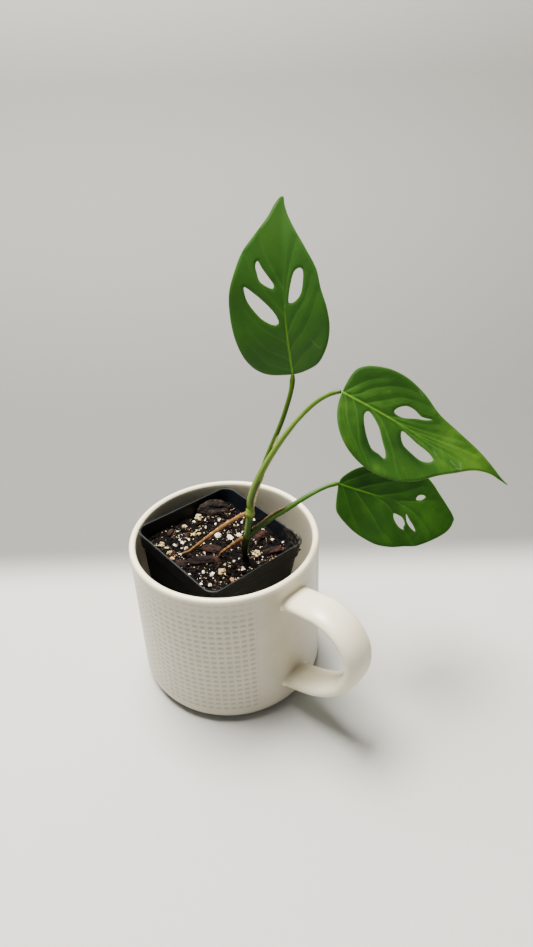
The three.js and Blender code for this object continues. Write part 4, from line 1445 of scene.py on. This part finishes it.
def veinStreaks(tree):
    # fine uneven lines that run outward and forward from the midrib, as the side veins do
    lean, close, short = leafSkin["streaks"]
    sheet = addNode(tree, "ShaderNodeUVMap", uv_map="leafSheet").outputs["UV"]
    flat = addNode(tree, "ShaderNodeSeparateXYZ", {"Vector": sheet}).outputs
    off = reckon(tree, "SUBTRACT", flat["Y"], 0.5)
    slant = reckon(tree, "MULTIPLY_ADD", reckon(tree, "ABSOLUTE", off), -lean, flat["X"])
    scaled = {"X": reckon(tree, "MULTIPLY", slant, close), "Y": reckon(tree, "MULTIPLY", off, short)}
    return noiseOn(tree, addNode(tree, "ShaderNodeCombineXYZ", scaled).outputs["Vector"], 1, 4, 0.6)


def leafMaterial(name, form):
    # Living leaf with a thin waxy cuticle: satin green, a bright sunken midrib, faint pale side veins,
    # painted light and shade in panels between them and in patches, and a paler matt underside.
    material, tree, shader, spot = newMaterial(name, Roughness=0.48, IOR=1.4, Specular_IOR_Level=0.3)
    streak = veinStreaks(tree)
    cloud = remap(tree, noiseOn(tree, spot, 130, 5, 0.6), 0.3, 0.7, -0.1, 0.1)
    # the mesh's tone is painted light and shade; the cloud and streaks vary it at random
    tone = reckon(tree, "ADD", painted(tree, "tone"), cloud)
    tone = reckon(tree, "ADD", tone, remap(tree, streak, 0.3, 0.7, -0.06, 0.06))
    colour = addRamp(tree, tone, list(zip((0.05, 0.5, 0.95), form["colours"])))
    layers = [("vein", form["veinShow"], "#4C7A2A"), ("under", 0.55, "#6E9150"),
              ("rib", 0.85, form["ribShade"]), ("rim", 0.2, "#5E8434"), ("mark", 0.1, "#A9B79A")]
    for label, strength, shade in layers:
        colour = overlay(tree, colour, painted(tree, label), shade, strength)
    ridges = addNode(tree, "ShaderNodeBump", {"Height": streak, "Strength": 0.14, "Distance": 0.0005})
    cells = addNode(tree, "ShaderNodeTexVoronoi", {"Vector": spot, "Scale": 1300}).outputs["Distance"]
    finishSkin(tree, shader, colour, cells, 0.1, 0.0002, ridges.outputs["Normal"])
    return material


for name, form in leafForms.items():
    leafBlade(name, form, leafMaterial(name + "Skin", form))
print("leaves made")

# floor, backdrop and light
studio = {
    "floor": "#B4B5B2",
    # the painted grey outside the pool of light
    "far": "#646563",
    "high": "#ADAEAA",  # painted light on the backdrop above the floor, and the height where it has this shade
    "wallLightAt": 0.35,
    "lightPoolEnds": (0.05, 0.095),  # metres behind the mug's middle where the painted pool of light on the floor starts and ends fading to grey
    "wallAt": 0.5,  # metres behind the mug
    "bend": 0.26,
    "reach": 2.5,  # how far the floor comes forward and the wall goes up
    "halfWidth": 3,
    "air": "#F2F4F8",
    "world": 0.17,
    # name, place, target, size, power, colour
    "lights": [("topLight", (-0.2, 0.18, 1.12), (0, 0.03, 0.1), (0.6, 0.5), 66, "#FFFBF2"),
               ("frontFill", (-0.6, -0.9, 0.8), (0, 0, 0.1), (0.8, 0.8), 0.4, "#F4F6FF")],
}


def cyclorama():
    # a floor that bends up into a wall behind the object, square to the camera's view
    bm = bmesh.new()
    bend, wall, halfWidth = studio["bend"], studio["wallAt"], studio["halfWidth"]
    outline = [(-studio["reach"], 0), (wall - bend, 0)]
    for turn in np.linspace(0, math.pi / 2, 13)[1:]:
        outline.append((wall - bend + bend * math.sin(turn), bend - bend * math.cos(turn)))
    outline.append((wall, studio["reach"]))
    corners = [bm.verts.new((-halfWidth, y, z)) for y, z in outline]
    for first, second in zip(corners, corners[1:]):
        bm.edges.new((first, second))
    grown = bmesh.ops.extrude_edge_only(bm, edges=bm.edges[:])
    bmesh.ops.translate(bm, vec=(2 * halfWidth, 0, 0), verts=cornersOf(grown["geom"]))
    bmesh.ops.rotate(bm, cent=(0, 0, 0), matrix=Matrix.Rotation(frontAngle, 3, "Z"), verts=bm.verts)
    bmesh.ops.recalc_face_normals(bm, faces=bm.faces)
    mesh = meshOf("studioSweep", bm)
    smoothFaces(mesh)
    # Pale matt paper with a painted pool of light: it greys with distance from where the object stands, and
    # is painted lighter up the wall as if lit from above.
    material, tree, shader, spot = newMaterial("palePaperPaintedLight", Roughness=0.85)
    back = frontTurn.to_3x3() @ Vector((0, 1, 0))
    reach = addNode(tree, "ShaderNodeVectorMath", {0: spot, 1: back}, operation="DOT_PRODUCT")
    lightPoolFalloff = remap(tree, reach.outputs["Value"], *studio["lightPoolEnds"], interpolation_type="SMOOTHSTEP")
    colour = addRamp(tree, lightPoolFalloff, [(0, studio["floor"]), (1, studio["far"])])
    colour = overlay(tree, colour, remap(tree, heightOf(tree, spot), 0, studio["wallLightAt"]), studio["high"])
    tree.links.new(colour, shader.inputs["Base Color"])
    mesh.materials.append(material)
    addObject("studio_sweep", mesh)


def softLight(name, spot, target, size, power, colour):
    lamp = bpy.data.lights.new(name, "AREA")
    lamp.shape = "RECTANGLE"
    lamp.size, lamp.size_y = size
    lamp.energy = power
    lamp.color = linearColour(colour)[:3]
    start, end = frontTurn @ Vector(spot), frontTurn @ Vector(target)
    turn = (start - end).to_track_quat("Z", "Y").to_matrix().to_4x4()
    addObject(name, lamp).matrix_world = Matrix.Translation(start) @ turn


cyclorama()
for light in studio["lights"]:
    softLight(*light)
world = bpy.data.worlds.new("studioAir")
world.use_nodes = True
air = world.node_tree.nodes["Background"].inputs
air["Color"].default_value = linearColour(studio["air"])
air["Strength"].default_value = studio["world"]
bpy.context.scene.world = world
print("stage and light set")
